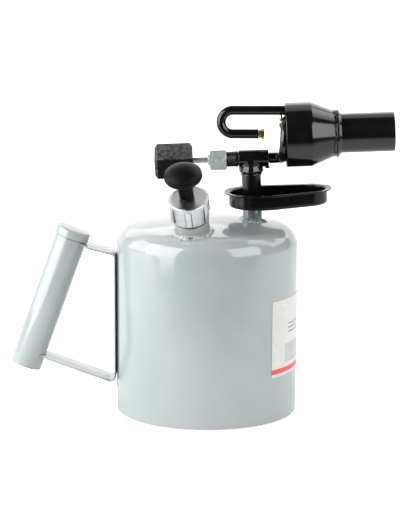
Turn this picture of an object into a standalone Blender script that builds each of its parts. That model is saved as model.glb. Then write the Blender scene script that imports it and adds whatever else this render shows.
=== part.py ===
"""Petrol blowlamp: a round steel tank with a carrying handle, a hand pump in its filler cap, and a
burner head on a riser pipe, with a preheating tray below the needle valve.

Metres, +Z up. The origin is the centre of the tank's base, on the floor. The flame tube points along
+X, leaning up a little, and the handle is on the -X side. Each frame empty carries one sub-assembly:
the filler frame has Z up the pump's axis, the head frame stands on the outlet bush, and the valve,
burner and jet frames lie in the head with Z along their own bores.
"""

import math

import bmesh
import bpy
from mathutils import Matrix, Vector

# Gaps, facets and overruns
SEAT_GAP = 0.0003
SLIDE_GAP = 0.0002
LABEL_GAP = 0.0001
CUT_OVERRUN = 0.004
MERGE_DISTANCE = 0.000001
TANK_STEPS = 40
REACH_ROUNDS = 16
LARGE_STEPS = 32
MIDDLE_STEPS = 24
SMALL_STEPS = 16
CORNER_STEPS = 4

# Tank shell and base plate
TANK_RADIUS = 0.065
TANK_WALL = 0.0012
SHOULDER_HEIGHT = 0.1225
SHOULDER_RADIUS = 0.014
CROWN_RADIUS = 0.300
SKIRT_LIFT = 0.001
BASE_THICKNESS = 0.0012
BASE_FLANGE_HEIGHT = 0.010
BASE_CORNER_RADIUS = 0.003

# Label, its arc counted in facets of the tank
LABEL_FACETS = 10
LABEL_FOOT = 0.0335
LABEL_HEIGHT = 0.055
LABEL_THICKNESS = 0.0003

# Handle: a tube grip held by one bent strap
GRIP_FOOT_X = -0.1314
GRIP_FOOT_HEIGHT = 0.0321
GRIP_LEAN = math.radians(19.8)
GRIP_LENGTH = 0.1067
GRIP_RADIUS = 0.0113
GRIP_WALL = 0.0012
GRIP_CAP_WALL = 0.0008
GRIP_CAP_DEPTH = 0.0066
GRIP_CAP_TOP = 0.0012
STRAP_WIDTH = 0.0224
STRAP_TAB_WIDTH = 0.0170
STRAP_SHOULDER_GAP = 0.0006
STRAP_SHOULDER_DEPTH = 0.0008
STRAP_THICKNESS = 0.0013
STRAP_LOWER_SLOT = 0.0115
STRAP_UPPER_SLOT = 0.0084
STRAP_UPPER_STRAIGHT = 0.0165
STRAP_UPPER_BEND = 0.022
STRAP_CORNER_HEIGHT = 0.1150
STRAP_CORNER_BEND = 0.0035

# Filler neck, leaning over the front shoulder, its inset counted from the tank's side
FILLER_INSET = 0.0203654
FILLER_BEARING = math.radians(-102.94641)
FILLER_TILT = math.radians(28.1)
FILLER_HEADING = math.radians(-102.7)
NECK_RADIUS = 0.0121
NECK_BORE = 0.0103
NECK_HEIGHT = 0.0105
NECK_LIFT = 0.0011
NECK_WELD_WIDTH = 0.0029
NECK_WELD_HEIGHT = 0.0022
WELD_CREST_SHARE = 0.7

# Pump cap and its gasket
GASKET_THICKNESS = 0.001
CAP_HEIGHT = 0.0166
CAP_TOP_THICKNESS = 0.0045
CAP_FOOT_RADIUS = 0.0129
CAP_NECK_RADIUS = 0.0138
CAP_RIM_RADIUS = 0.0143
CAP_RIM_DEPTH = 0.0024
CAP_RIM_ROUNDING = 0.0009
CAP_DISH_DEPTH = 0.0003
CAP_DISH_EDGE = 0.0016
CAP_RIB_COUNT = 6
CAP_RIB_WIDTH = 0.004
CAP_RIB_TURN = math.radians(8.0)
CAP_RIB_FOOT = 0.0006
CAP_RIB_FLANK_SHARE = 0.12
CAP_FACETS_PER_GAP = 4

# Pump barrel and foot valve, below the cap
BARREL_RADIUS = 0.009
BARREL_BORE = 0.008
BARREL_LENGTH = 0.080
COLLAR_LENGTH = 0.0215
COLLAR_TAPER = 0.0013
CAGE_PLUG_LENGTH = 0.008
CAGE_FLANGE_THICKNESS = 0.0025
CAGE_BODY_RADIUS = 0.006
CAGE_BODY_LENGTH = 0.011
CAGE_CHAMBER_RADIUS = 0.0042
CAGE_CHAMBER_TOP = 0.0045
CAGE_PORT_RADIUS = 0.0015
CAGE_END_THICKNESS = 0.0018
POPPET_RADIUS = 0.0036
POPPET_THICKNESS = 0.0014
POPPET_STEM_RADIUS = 0.0011
POPPET_STEM_LENGTH = 0.006
POPPET_LIFT = 0.0015
SEAL_THICKNESS = 0.0012
VALVE_SPRING_RADIUS = 0.0025
VALVE_SPRING_WIRE = 0.0003
VALVE_SPRING_TURNS = 5

# Plunger
ROD_RADIUS = 0.0025
ROD_COLLAR_RISE = 0.0008
PISTON_HEIGHT = 0.0045
PISTON_LIFT = 0.0012
CUP_WALL = 0.0016
WASHER_RADIUS = 0.0058
WASHER_THICKNESS = 0.0010
PISTON_NUT_FLATS = 0.008
PISTON_NUT_HEIGHT = 0.003
KNOB_STEM_FOOT_RADIUS = 0.0049
KNOB_STEM_TOP_RADIUS = 0.0055
KNOB_STEM_HEIGHT = 0.0160
KNOB_STEM_OFFSET = 0.0011
KNOB_HEAD_OFFSET = 0.0018
KNOB_FLUTE_COUNT = 2
KNOB_FLUTE_DEPTH_SHARE = 0.2
KNOB_RADIUS = 0.0133
KNOB_SKIRT_HEIGHT = 0.0046
KNOB_DOME_HEIGHT = 0.0058
KNOB_BORE_DEPTH = 0.014
KNOB_FACE_SHARE = 0.9

# Burner head: its stance, and the heights of its axes over the foot of the bush
BUSH_X = 0.0326
HEAD_TILT = math.radians(2.2)
VALVE_AXIS_HEIGHT = 0.0416
BURNER_AXIS_HEIGHT = 0.0577

# Outlet bush, dip tube and riser
BUSH_RADIUS = 0.0068
BUSH_BORE = 0.0053
BUSH_HEIGHT = 0.0066
BUSH_LIFT = 0.0029
BUSH_WELD_WIDTH = 0.0030
BUSH_WELD_HEIGHT = 0.0012
DIP_RADIUS = 0.003
DIP_BORE = 0.0022
DIP_COLLAR_LENGTH = 0.006
DIP_CLEARANCE = 0.010
STRAINER_RADIUS = 0.0048
STRAINER_LENGTH = 0.014
STRAINER_WALL = 0.0006
STRAINER_DROP = 0.003
RISER_RADIUS = 0.0069
RISER_BORE = 0.0032
RISER_SPIGOT_LENGTH = 0.0055
RISER_WELD_RADIUS = 0.0077
RISER_WELD_DROP = 0.0045

# Preheating tray, egg-shaped in plan, with a rim turned outwards
TRAY_WIDE_RADIUS = 0.0245
TRAY_NARROW_RADIUS = 0.0185
TRAY_SPACING = 0.0281
TRAY_OFFSET = 0.0081
TRAY_TURN = math.radians(9.5)
TRAY_DEPTH = 0.0106
TRAY_SHEET = 0.0009
TRAY_CORNER_RADIUS = 0.0024
TRAY_RIM_WIDTH = 0.0033
TRAY_RIM_RISE = 0.0006
TRAY_WIDE_STEPS = 20
TRAY_NARROW_STEPS = 12

# Needle valve, its places counted from the riser's axis
TEE_RADIUS = 0.0062
TEE_BORE = 0.0034
TEE_LENGTH = 0.0215
TEE_LEAD = 0.0088
STUB_SOCKET_DEPTH = 0.004
STUB_SPIGOT_RADIUS = 0.0046
STUB_RADIUS = 0.0056
STUB_BORE = 0.0024
PACKING_BORE = 0.0038
PACKING_CHAMBER_DEPTH = 0.0055
PACKING_LENGTH = 0.0036
FOLLOWER_THICKNESS = 0.0012
NUT_STANDOFF = 0.0086
NUT_LENGTH = 0.0119
NUT_FLATS = 0.014
NUT_CHAMFER = 0.0009
NUT_SHOULDER = 0.0018
NUT_NOSE_RADIUS = 0.0040
NUT_NOSE_LENGTH = 0.0014
SPINDLE_RADIUS = 0.00215
SPINDLE_SHOWN = 0.0108
SPINDLE_IN_KNOB = 0.014
NEEDLE_START = 0.0025
NEEDLE_TIP = 0.0062
NEEDLE_TIP_RADIUS = 0.0006
SEAT_START = 0.0045
SEAT_LENGTH = 0.003
SEAT_MOUTH_RADIUS = 0.0022
SEAT_THROAT_RADIUS = 0.001
SEAT_CONE_LENGTH = 0.0012
VALVE_KNOB_LENGTH = 0.0272
VALVE_KNOB_SIDE = 0.0181
VALVE_KNOB_CHAMFER = 0.0022
VALVE_KNOB_END_CHAMFER = 0.0011
VALVE_KNOB_TURN = math.radians(-14.0)
KNOB_RECESS_RADIUS = 0.0045
KNOB_RECESS_DEPTH = 0.0032
KNOB_SCREW_HEAD_RADIUS = 0.0037
KNOB_SCREW_HEAD_HEIGHT = 0.0022
KNOB_SCREW_RADIUS = 0.0015
KNOB_SCREW_CROWN_SHARE = 0.75
FEED_RADIUS = 0.0039
FEED_BORE = 0.002
FEED_SPIGOT_LENGTH = 0.0045
FEED_END = 0.0178

# Burner casing and flame tube, their places counted from the riser's axis
CASING_RADIUS = 0.0230
CASING_WALL = 0.0015
CASING_START = 0.0252
CASING_SHOULDER = 0.0434
CASING_SHOULDER_ROUNDING = 0.004
CONE_END = 0.0607
CONE_END_RADIUS = 0.0158
RING_RADIUS = 0.0169
RING_THICKNESS = 0.0023
RING_BEAD_WIDTH = 0.0009
RING_BEAD_LENGTH = 0.0013
FLAME_RADIUS = 0.0141
FLAME_WALL = 0.0014
FLAME_INSET = 0.003
FLAME_END = 0.1027

# Vaporiser coil and the tube that leads back from it to the jet
COIL_TUBE_RADIUS = 0.0034
COIL_TUBE_BORE = 0.002
COIL_PITCH = 0.0074
COIL_NEAR_SIDE = 0.0240
COIL_ENTRY_TURN = math.radians(26.0)
COIL_ENTRY_HANDLE = 0.0030
COIL_END_STRAIGHT = 0.0006
COIL_EXIT_RISE = 0.012
COIL_EXIT_SWEEP = 0.011
COIL_STEPS_PER_TURN = 16
BEND_STEPS = 8
TUBE_SIDES = 10
LEG_CLEARANCE = 0.0003
RETURN_RADIUS = 0.0034
RETURN_BORE = 0.002
RETURN_PITCH = math.radians(2.0)
RETURN_START = 0.0297
RETURN_OFFSET = 0.0175
RETURN_UPPER_LEG = 0.0414
RETURN_LOWER_LEG = 0.0182
RETURN_BEND_RADIUS = 0.00845
JET_SPIGOT_LENGTH = 0.004
JET_NECK_RADIUS = 0.0029
JET_NECK_LENGTH = 0.0015
JET_HEAD_FLATS = 0.0066
JET_HEAD_LENGTH = 0.0024
JET_ORIFICE_RADIUS = 0.0004

# Places worked out from the sizes above
CROWN_CENTRE = SHOULDER_HEIGHT - math.sqrt(
    (CROWN_RADIUS - SHOULDER_RADIUS) ** 2 - (TANK_RADIUS - SHOULDER_RADIUS) ** 2
)
WEB_X = -(TANK_RADIUS + SEAT_GAP + STRAP_THICKNESS / 2)
GASKET_FOOT = NECK_HEIGHT + SEAT_GAP
CAP_FOOT = GASKET_FOOT + GASKET_THICKNESS + SEAT_GAP
CAP_TOP = CAP_FOOT + CAP_HEIGHT
COLLAR_TOP = CAP_TOP - CAP_TOP_THICKNESS - SEAT_GAP
COLLAR_RADIUS = NECK_BORE - SEAT_GAP
BARREL_FOOT = -BARREL_LENGTH
CAGE_TOP = BARREL_FOOT + CAGE_PLUG_LENGTH
FLANGE_TOP = BARREL_FOOT - SEAT_GAP
FLANGE_FOOT = FLANGE_TOP - CAGE_FLANGE_THICKNESS
CAGE_FOOT = FLANGE_FOOT - CAGE_BODY_LENGTH
CHAMBER_TOP = CAGE_TOP - CAGE_CHAMBER_TOP
CHAMBER_FOOT = CAGE_FOOT + CAGE_END_THICKNESS
SEAL_TOP = CHAMBER_TOP - SLIDE_GAP
POPPET_TOP = SEAL_TOP - SEAL_THICKNESS - LABEL_GAP
POPPET_FOOT = POPPET_TOP - POPPET_THICKNESS
NUT_FOOT = CAGE_TOP + PISTON_LIFT
NUT_TOP = NUT_FOOT + PISTON_NUT_HEIGHT
CUP_FOOT = NUT_TOP + SEAT_GAP
CUP_TOP = CUP_FOOT + PISTON_HEIGHT
WASHER_FOOT = CUP_FOOT + CUP_WALL + SEAT_GAP
SHOULDER_FOOT = WASHER_FOOT + WASHER_THICKNESS + SEAT_GAP
STEM_FOOT = CAP_TOP - CAP_DISH_DEPTH + SEAT_GAP
STEM_TOP = STEM_FOOT + KNOB_STEM_HEIGHT
TRAY_FOOT = BUSH_HEIGHT + SEAT_GAP
TRAY_FLOOR = TRAY_FOOT + TRAY_SHEET
RISER_FOOT = TRAY_FLOOR + SEAT_GAP
TEE_BACK = -TEE_LEAD
TEE_FRONT = TEE_BACK + TEE_LENGTH
STUB_FRONT = TEE_BACK + STUB_SOCKET_DEPTH
NUT_FRONT = TEE_BACK - NUT_STANDOFF
NUT_BACK = NUT_FRONT - NUT_LENGTH
NOSE_BACK = NUT_BACK - NUT_NOSE_LENGTH
FOLLOWER_BACK = NUT_BACK + NUT_SHOULDER + SEAT_GAP
FOLLOWER_FRONT = FOLLOWER_BACK + FOLLOWER_THICKNESS
STUB_BACK = FOLLOWER_FRONT - PACKING_CHAMBER_DEPTH / 4
PACKING_FRONT = STUB_BACK + PACKING_CHAMBER_DEPTH - SEAT_GAP
PACKING_BACK = max(PACKING_FRONT - PACKING_LENGTH, FOLLOWER_FRONT + SEAT_GAP)
KNOB_FRONT = NOSE_BACK - SPINDLE_SHOWN
KNOB_BACK = KNOB_FRONT - VALVE_KNOB_LENGTH
SPINDLE_BACK = KNOB_FRONT - SPINDLE_IN_KNOB
SCREW_SEAT = KNOB_BACK + KNOB_RECESS_DEPTH
FEED_FRONT_FACE = TEE_FRONT + SEAT_GAP
RING_START = CONE_END + SEAT_GAP
RING_END = RING_START + RING_THICKNESS
COIL_BOTTOM = VALVE_AXIS_HEIGHT
COIL_TOP = BURNER_AXIS_HEIGHT + RETURN_OFFSET - RETURN_RADIUS - COIL_TUBE_RADIUS - LEG_CLEARANCE
COIL_RADIUS = (COIL_TOP - COIL_BOTTOM) / 2
COIL_CENTRE = (COIL_TOP + COIL_BOTTOM) / 2

MATERIALS = {
    "tank_paint": ((0.62, 0.66, 0.66), 0.3, 0.0),
    "black_enamel": ((0.012, 0.012, 0.013), 0.22, 0.0),
    "zinc_plate": ((0.55, 0.60, 0.62), 0.35, 1.0),
    "cap_alloy": ((0.62, 0.63, 0.65), 0.3, 1.0),
    "brass": ((0.72, 0.45, 0.14), 0.3, 1.0),
    "knob_black": ((0.03, 0.03, 0.032), 0.7, 0.0),
    "pump_plastic": ((0.02, 0.02, 0.02), 0.45, 0.0),
    "bare_steel": ((0.42, 0.42, 0.43), 0.35, 1.0),
    "rubber": ((0.03, 0.03, 0.03), 0.8, 0.0),
    "leather": ((0.25, 0.14, 0.07), 0.7, 0.0),
    "graphite": ((0.06, 0.06, 0.065), 0.6, 0.0),
    "label_film": ((0.80, 0.79, 0.77), 0.35, 0.0),
}


def clear_scene():
    for item in list(bpy.data.objects):
        bpy.data.objects.remove(item, do_unlink=True)


def new_material(name, finish):
    """A plain material of its own for one piece."""
    colour, roughness, metallic = MATERIALS[finish]
    material = bpy.data.materials.new(name)
    material.use_nodes = True
    shader = material.node_tree.nodes["Principled BSDF"]
    shader.inputs["Base Color"].default_value = (*colour, 1)
    shader.inputs["Roughness"].default_value = roughness
    shader.inputs["Metallic"].default_value = metallic
    material.diffuse_color = (*colour, 1)
    return material


def new_frame(name, location, turn, parent=None):
    frame = bpy.data.objects.new(name, None)
    bpy.context.scene.collection.objects.link(frame)
    frame.location = location
    frame.rotation_euler = turn
    frame.parent = parent
    return frame


def matrix_of(location, turn):
    tilt, heading = turn[1], turn[2]
    return Matrix.Translation(location) @ Matrix.Rotation(heading, 4, "Z") @ Matrix.Rotation(tilt, 4, "Y")


def add_piece(name, shape, finish, parent=None):
    """Closes a bmesh into a named object, with its normals out and its round faces smooth."""
    bmesh.ops.remove_doubles(shape, verts=shape.verts, dist=MERGE_DISTANCE)
    bmesh.ops.recalc_face_normals(shape, faces=shape.faces)
    mesh = bpy.data.meshes.new(name)
    shape.to_mesh(mesh)
    shape.free()
    mesh.shade_smooth()
    mesh.set_sharp_from_angle(angle=math.radians(35))
    piece = bpy.data.objects.new(name, mesh)
    bpy.context.scene.collection.objects.link(piece)
    piece.parent = parent
    if finish:
        mesh.materials.append(new_material(name, finish))
    return piece


def as_cutter(piece):
    piece.hide_render = True
    piece.display_type = "WIRE"
    return piece


def combine(piece, other, operation):
    modifier = piece.modifiers.new(operation.title(), "BOOLEAN")
    modifier.operation = operation
    modifier.solver = "EXACT"
    modifier.object = as_cutter(other)


def turned(name, profile, steps, finish, parent=None):
    """Spins a profile of (radius, height) pairs about Z. Off the axis, its two ends are joined."""
    shape = bmesh.new()
    corners = [shape.verts.new((radius, 0, height)) for radius, height in profile]
    pairs = list(zip(corners, corners[1:]))
    if profile[0][0] > 0:
        pairs.append((corners[-1], corners[0]))
    edges = [shape.edges.new(pair) for pair in pairs]
    bmesh.ops.spin(
        shape,
        geom=corners + edges,
        cent=(0, 0, 0),
        axis=(0, 0, 1),
        angle=2 * math.pi,
        steps=steps,
        use_merge=True,
    )
    return add_piece(name, shape, finish, parent)


def lofted(name, rings, finish, parent=None, joined=False):
    """Bridges rings of points in order, then caps the two ends or joins the last ring to the first."""
    shape = bmesh.new()
    loops = [[shape.verts.new(point) for point in ring] for ring in rings]
    pairs = list(zip(loops, loops[1:]))
    if joined:
        pairs.append((loops[-1], loops[0]))
    for first, second in pairs:
        for here in range(len(first)):
            ahead = (here + 1) % len(first)
            shape.faces.new((first[here], first[ahead], second[ahead], second[here]))
    if not joined:
        shape.faces.new(loops[0])
        shape.faces.new(loops[-1])
    return add_piece(name, shape, finish, parent)


def ring_profile(inner, outer, foot, top):
    return [(inner, foot), (outer, foot), (outer, top), (inner, top)]


def rod_profile(radius, foot, top):
    return [(0, foot), (radius, foot), (radius, top), (0, top)]


def arc(centre, radius, start, end, steps):
    """Points (a, b) on an arc, from one angle to the other."""
    turns = [start + (end - start) * step / steps for step in range(steps + 1)]
    return [(centre[0] + radius * math.cos(turn), centre[1] + radius * math.sin(turn)) for turn in turns]


def rounded(points, radii):
    """A polyline whose inner corners are rounded, each to its own radius."""
    line = [Vector(points[0])]
    for before, corner, after, radius in zip(points, points[1:], points[2:], radii):
        corner = Vector(corner)
        back = (Vector(before) - corner).normalized()
        ahead = (Vector(after) - corner).normalized()
        half = back.angle(ahead) / 2
        reach = radius / math.tan(half)
        centre = corner + (back + ahead).normalized() * (radius / math.sin(half))
        start = corner + back * reach - centre
        end = corner + ahead * reach - centre
        for step in range(CORNER_STEPS + 1):
            line.append(centre + start.slerp(end, step / CORNER_STEPS) * radius)
    line.append(Vector(points[-1]))
    return line


def polygon(corner_radius, sides, turn, height):
    """The corners of a regular polygon about Z."""
    turns = [turn + 2 * math.pi * side / sides for side in range(sides)]
    return [(corner_radius * math.cos(angle), corner_radius * math.sin(angle), height) for angle in turns]


def tube_rings(line, radius, sides):
    """Rings square to a centre line, carried along it without twisting."""
    rings = []
    side = None
    for here, point in enumerate(line):
        ahead = line[min(here + 1, len(line) - 1)] - line[max(here - 1, 0)]
        ahead.normalize()
        if side is None:
            side = ahead.orthogonal().normalized()
        side = (side - ahead * side.dot(ahead)).normalized()
        across = ahead.cross(side)
        turns = [2 * math.pi * step / sides for step in range(sides)]
        rings.append([point + radius * (side * math.cos(turn) + across * math.sin(turn)) for turn in turns])
    return rings


def swept_tube(name, line, radius, bore, finish, parent=None):
    """A bent tube with an open bore."""
    outside = tube_rings(line, radius, TUBE_SIDES)
    inside = tube_rings(line, bore, TUBE_SIDES)
    return lofted(name, outside + inside[::-1], finish, parent, joined=True)


def bezier(start, start_handle, end_handle, end, steps):
    """Points along a cubic curve, without its last one."""
    line = []
    for step in range(steps):
        ahead = step / steps
        back = 1 - ahead
        line.append(
            start * back**3
            + start_handle * 3 * back**2 * ahead
            + end_handle * 3 * back * ahead**2
            + end * ahead**3
        )
    return line


def crown_height(distance, lift=0):
    """Height of the tank's top at a distance from its axis, or of a surface that lies above it."""
    corner_x = TANK_RADIUS - SHOULDER_RADIUS
    crown_radius = CROWN_RADIUS + lift
    if distance * (CROWN_RADIUS - SHOULDER_RADIUS) < crown_radius * corner_x:
        return CROWN_CENTRE + math.sqrt(crown_radius**2 - distance**2)
    return SHOULDER_HEIGHT + math.sqrt((SHOULDER_RADIUS + lift) ** 2 - (distance - corner_x) ** 2)


def shell_line(inset, foot):
    """The tank's outline from its top to its foot, moved inwards by the inset."""
    corner_radius = SHOULDER_RADIUS - inset
    corner_x = TANK_RADIUS - SHOULDER_RADIUS
    meeting = math.atan2(SHOULDER_HEIGHT - CROWN_CENTRE, corner_x)
    crown = arc((0, CROWN_CENTRE), CROWN_RADIUS - inset, math.pi / 2, meeting, CORNER_STEPS + 2)
    shoulder = arc((corner_x, SHOULDER_HEIGHT), corner_radius, meeting, 0, CORNER_STEPS)
    line = crown[:-1] + shoulder
    line[0] = (0, line[0][1])
    return line + [(TANK_RADIUS - inset, foot)]


def welded_stub(name, frame_matrix, bore, radius, height, weld_width, weld_height, steps, parent):
    """A pipe stub whose foot follows the tank's crown, with its weld bead."""
    upwards = frame_matrix.to_3x3() @ Vector((0, 0, 1))

    def crown_reach(distance, turn):
        """Height above the frame at which a line beside its axis leaves the crown, with a gap."""
        foot = frame_matrix @ Vector((distance * math.cos(turn), distance * math.sin(turn), 0))
        height = 0
        for _ in range(REACH_ROUNDS):
            place = foot + height * upwards
            height += (crown_height(math.hypot(place.x, place.y), SEAT_GAP) - place.z) / upwards.z
        return height

    toe = radius + weld_width
    crest = radius + weld_width / 2
    rings = []
    for step in range(steps):
        turn = 2 * math.pi * step / steps
        outline = [
            (bore, crown_reach(bore, turn)),
            (bore, height),
            (radius, height),
            (radius, crown_reach(radius, turn) + weld_height),
            (crest, crown_reach(crest, turn) + weld_height * WELD_CREST_SHARE),
            (toe, crown_reach(toe, turn)),
        ]
        rings.append([(reach * math.cos(turn), reach * math.sin(turn), level) for reach, level in outline])
    return lofted(name, rings, "tank_paint", parent, joined=True)


def build_tank(filler, head):
    wall_line = shell_line(TANK_WALL, SKIRT_LIFT)
    shell = turned("tank_shell", shell_line(0, SKIRT_LIFT) + wall_line[::-1], TANK_STEPS, "tank_paint")
    hole_foot = -TANK_WALL - CUT_OVERRUN
    neck_hole = rod_profile(NECK_BORE, 2 * hole_foot - NECK_LIFT, NECK_HEIGHT)
    combine(shell, turned("neck_hole", neck_hole, MIDDLE_STEPS, None, filler), "DIFFERENCE")
    bush_hole = rod_profile(BUSH_BORE, hole_foot - BUSH_LIFT, BUSH_HEIGHT)
    combine(shell, turned("bush_hole", bush_hole, SMALL_STEPS, None, head), "DIFFERENCE")

    radius = TANK_RADIUS - TANK_WALL - SEAT_GAP
    corner = (radius - BASE_CORNER_RADIUS, BASE_CORNER_RADIUS)
    outside = [(0, 0)] + arc(corner, BASE_CORNER_RADIUS, -math.pi / 2, 0, 3)
    inside = arc(corner, BASE_CORNER_RADIUS - BASE_THICKNESS, 0, -math.pi / 2, 3)
    lip = [(radius, BASE_FLANGE_HEIGHT), (radius - BASE_THICKNESS, BASE_FLANGE_HEIGHT)]
    turned("tank_base", outside + lip + inside + [(0, BASE_THICKNESS)], TANK_STEPS, "tank_paint")

    facet = 2 * math.pi / TANK_STEPS
    inner = TANK_RADIUS + LABEL_GAP
    section = ring_profile(inner, inner + LABEL_THICKNESS, LABEL_FOOT, LABEL_FOOT + LABEL_HEIGHT)
    turns = [facet * (step - LABEL_FACETS / 2) for step in range(LABEL_FACETS + 1)]
    rings = [
        [(reach * math.cos(turn), reach * math.sin(turn), level) for reach, level in section] for turn in turns
    ]
    lofted("label", rings, "label_film")


def strap_line():
    """Centre line of the strap in the XZ plane, from the grip's upper slot to its lower one."""
    along = Vector((math.sin(GRIP_LEAN), math.cos(GRIP_LEAN)))
    across = Vector((math.cos(GRIP_LEAN), -math.sin(GRIP_LEAN)))
    foot = Vector((GRIP_FOOT_X, GRIP_FOOT_HEIGHT))
    upper = foot + along * (GRIP_LENGTH - STRAP_UPPER_SLOT)
    lower = foot + along * STRAP_LOWER_SLOT
    lower_corner = lower + across * ((WEB_X - lower.x) / across.x)
    points = [upper, upper + across * STRAP_UPPER_STRAIGHT, (WEB_X, STRAP_CORNER_HEIGHT), lower_corner, lower]
    return rounded(points, [STRAP_UPPER_BEND, STRAP_CORNER_BEND, STRAP_CORNER_BEND])


def build_handle():
    grip = new_frame("grip_frame", (GRIP_FOOT_X, 0, GRIP_FOOT_HEIGHT), (0, GRIP_LEAN, 0))
    tube_top = GRIP_LENGTH - GRIP_CAP_TOP - SEAT_GAP
    tube = turned(
        "grip_tube",
        ring_profile(GRIP_RADIUS - GRIP_WALL, GRIP_RADIUS, 0, tube_top),
        LARGE_STEPS,
        "tank_paint",
        grip,
    )
    half_width = STRAP_TAB_WIDTH / 2 + SEAT_GAP
    half_thickness = STRAP_THICKNESS / 2 + SEAT_GAP
    for name, level in (("lower_slot", STRAP_LOWER_SLOT), ("upper_slot", GRIP_LENGTH - STRAP_UPPER_SLOT)):
        ends = [
            [(reach, y, level + z) for y, z in (
                (-half_width, -half_thickness),
                (half_width, -half_thickness),
                (half_width, half_thickness),
                (-half_width, half_thickness),
            )]
            for reach in (0, GRIP_RADIUS + CUT_OVERRUN)
        ]
        combine(tube, lofted(name, ends, None, grip), "DIFFERENCE")

    cap_bore = GRIP_RADIUS + SEAT_GAP
    cap_radius = cap_bore + GRIP_CAP_WALL
    cap_foot = GRIP_LENGTH - GRIP_CAP_DEPTH
    cap_ceiling = GRIP_LENGTH - GRIP_CAP_TOP
    cap = [
        (0, GRIP_LENGTH),
        (cap_radius - GRIP_CAP_WALL, GRIP_LENGTH),
        (cap_radius, GRIP_LENGTH - GRIP_CAP_WALL),
        (cap_radius, cap_foot),
        (cap_bore, cap_foot),
        (cap_bore, cap_ceiling),
        (0, cap_ceiling),
    ]
    turned("grip_cap", cap, LARGE_STEPS, "tank_paint", grip)

    line = strap_line()
    shoulder = GRIP_RADIUS + STRAP_SHOULDER_GAP
    ends = []
    for start, following in ((line[0], line[1]), (line[-1], line[-2])):
        out = (following - start).normalized()
        ends.append([
            (start, STRAP_TAB_WIDTH),
            (start + out * shoulder, STRAP_TAB_WIDTH),
            (start + out * (shoulder + STRAP_SHOULDER_DEPTH), STRAP_WIDTH),
        ])
    stations = ends[0] + [(point, STRAP_WIDTH) for point in line[1:-1]] + ends[1][::-1]
    rings = []
    for here, (point, width) in enumerate(stations):
        ahead = stations[min(here + 1, len(stations) - 1)][0] - stations[max(here - 1, 0)][0]
        ahead.normalize()
        normal = Vector((-ahead.y, ahead.x)) * (STRAP_THICKNESS / 2)
        sides = ((point + normal, -1), (point + normal, 1), (point - normal, 1), (point - normal, -1))
        rings.append([(spot.x, side * width / 2, spot.y) for spot, side in sides])
    lofted("handle_strap", rings, "tank_paint")


def build_pump_cap(filler):
    """The filler cap: a tapered knob with raised ribs and a bright rolled rim."""
    flank = CAP_RIB_WIDTH / 2 / CAP_RIM_RADIUS
    foot_flank = flank * (1 + CAP_RIB_FLANK_SHARE)
    between = 2 * math.pi / CAP_RIB_COUNT - 2 * foot_flank
    places = []
    for rib in range(CAP_RIB_COUNT):
        middle = CAP_RIB_TURN + 2 * math.pi * rib / CAP_RIB_COUNT
        places += [(middle - foot_flank, False), (middle - flank, True), (middle + flank, True)]
        for step in range(CAP_FACETS_PER_GAP):
            places.append((middle + foot_flank + between * step / CAP_FACETS_PER_GAP, False))

    rim_foot = CAP_TOP - CAP_RIM_DEPTH
    rib_foot = CAP_FOOT + CAP_RIB_FOOT
    rim_centre = (CAP_RIM_RADIUS - CAP_RIM_ROUNDING, CAP_TOP - CAP_RIM_ROUNDING)
    counterbore = NECK_BORE
    ceiling = CAP_TOP - CAP_TOP_THICKNESS
    dish_radius = CAP_RIM_RADIUS - CAP_DISH_EDGE
    rod_hole = ROD_RADIUS + SLIDE_GAP

    def taper(level):
        share = (level - CAP_FOOT) / (rim_foot - CAP_FOOT)
        return CAP_FOOT_RADIUS + (CAP_NECK_RADIUS - CAP_FOOT_RADIUS) * share

    plain = [(counterbore, CAP_FOOT), (taper(CAP_FOOT), CAP_FOOT), (taper(rib_foot), rib_foot)]
    ribbed = plain[:2] + [(taper(rib_foot), rib_foot)]
    plain += [(taper(rib_foot), rib_foot), (taper(rim_foot), rim_foot)]
    ribbed += [(CAP_RIM_RADIUS, rib_foot + CAP_RIB_FOOT), (CAP_RIM_RADIUS, rim_foot)]
    rim = arc(rim_centre, CAP_RIM_ROUNDING, 0, math.pi / 2, 2)
    top = rim + [
        (dish_radius, CAP_TOP - CAP_DISH_DEPTH),
        (rod_hole, CAP_TOP - CAP_DISH_DEPTH),
        (rod_hole, ceiling),
        (counterbore, ceiling),
    ]
    rings = []
    for turn, on_rib in places:
        outline = (ribbed if on_rib else plain) + top
        rings.append([(reach * math.cos(turn), reach * math.sin(turn), level) for reach, level in outline])
    lofted("pump_cap", rings, "cap_alloy", filler, joined=True)


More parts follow.
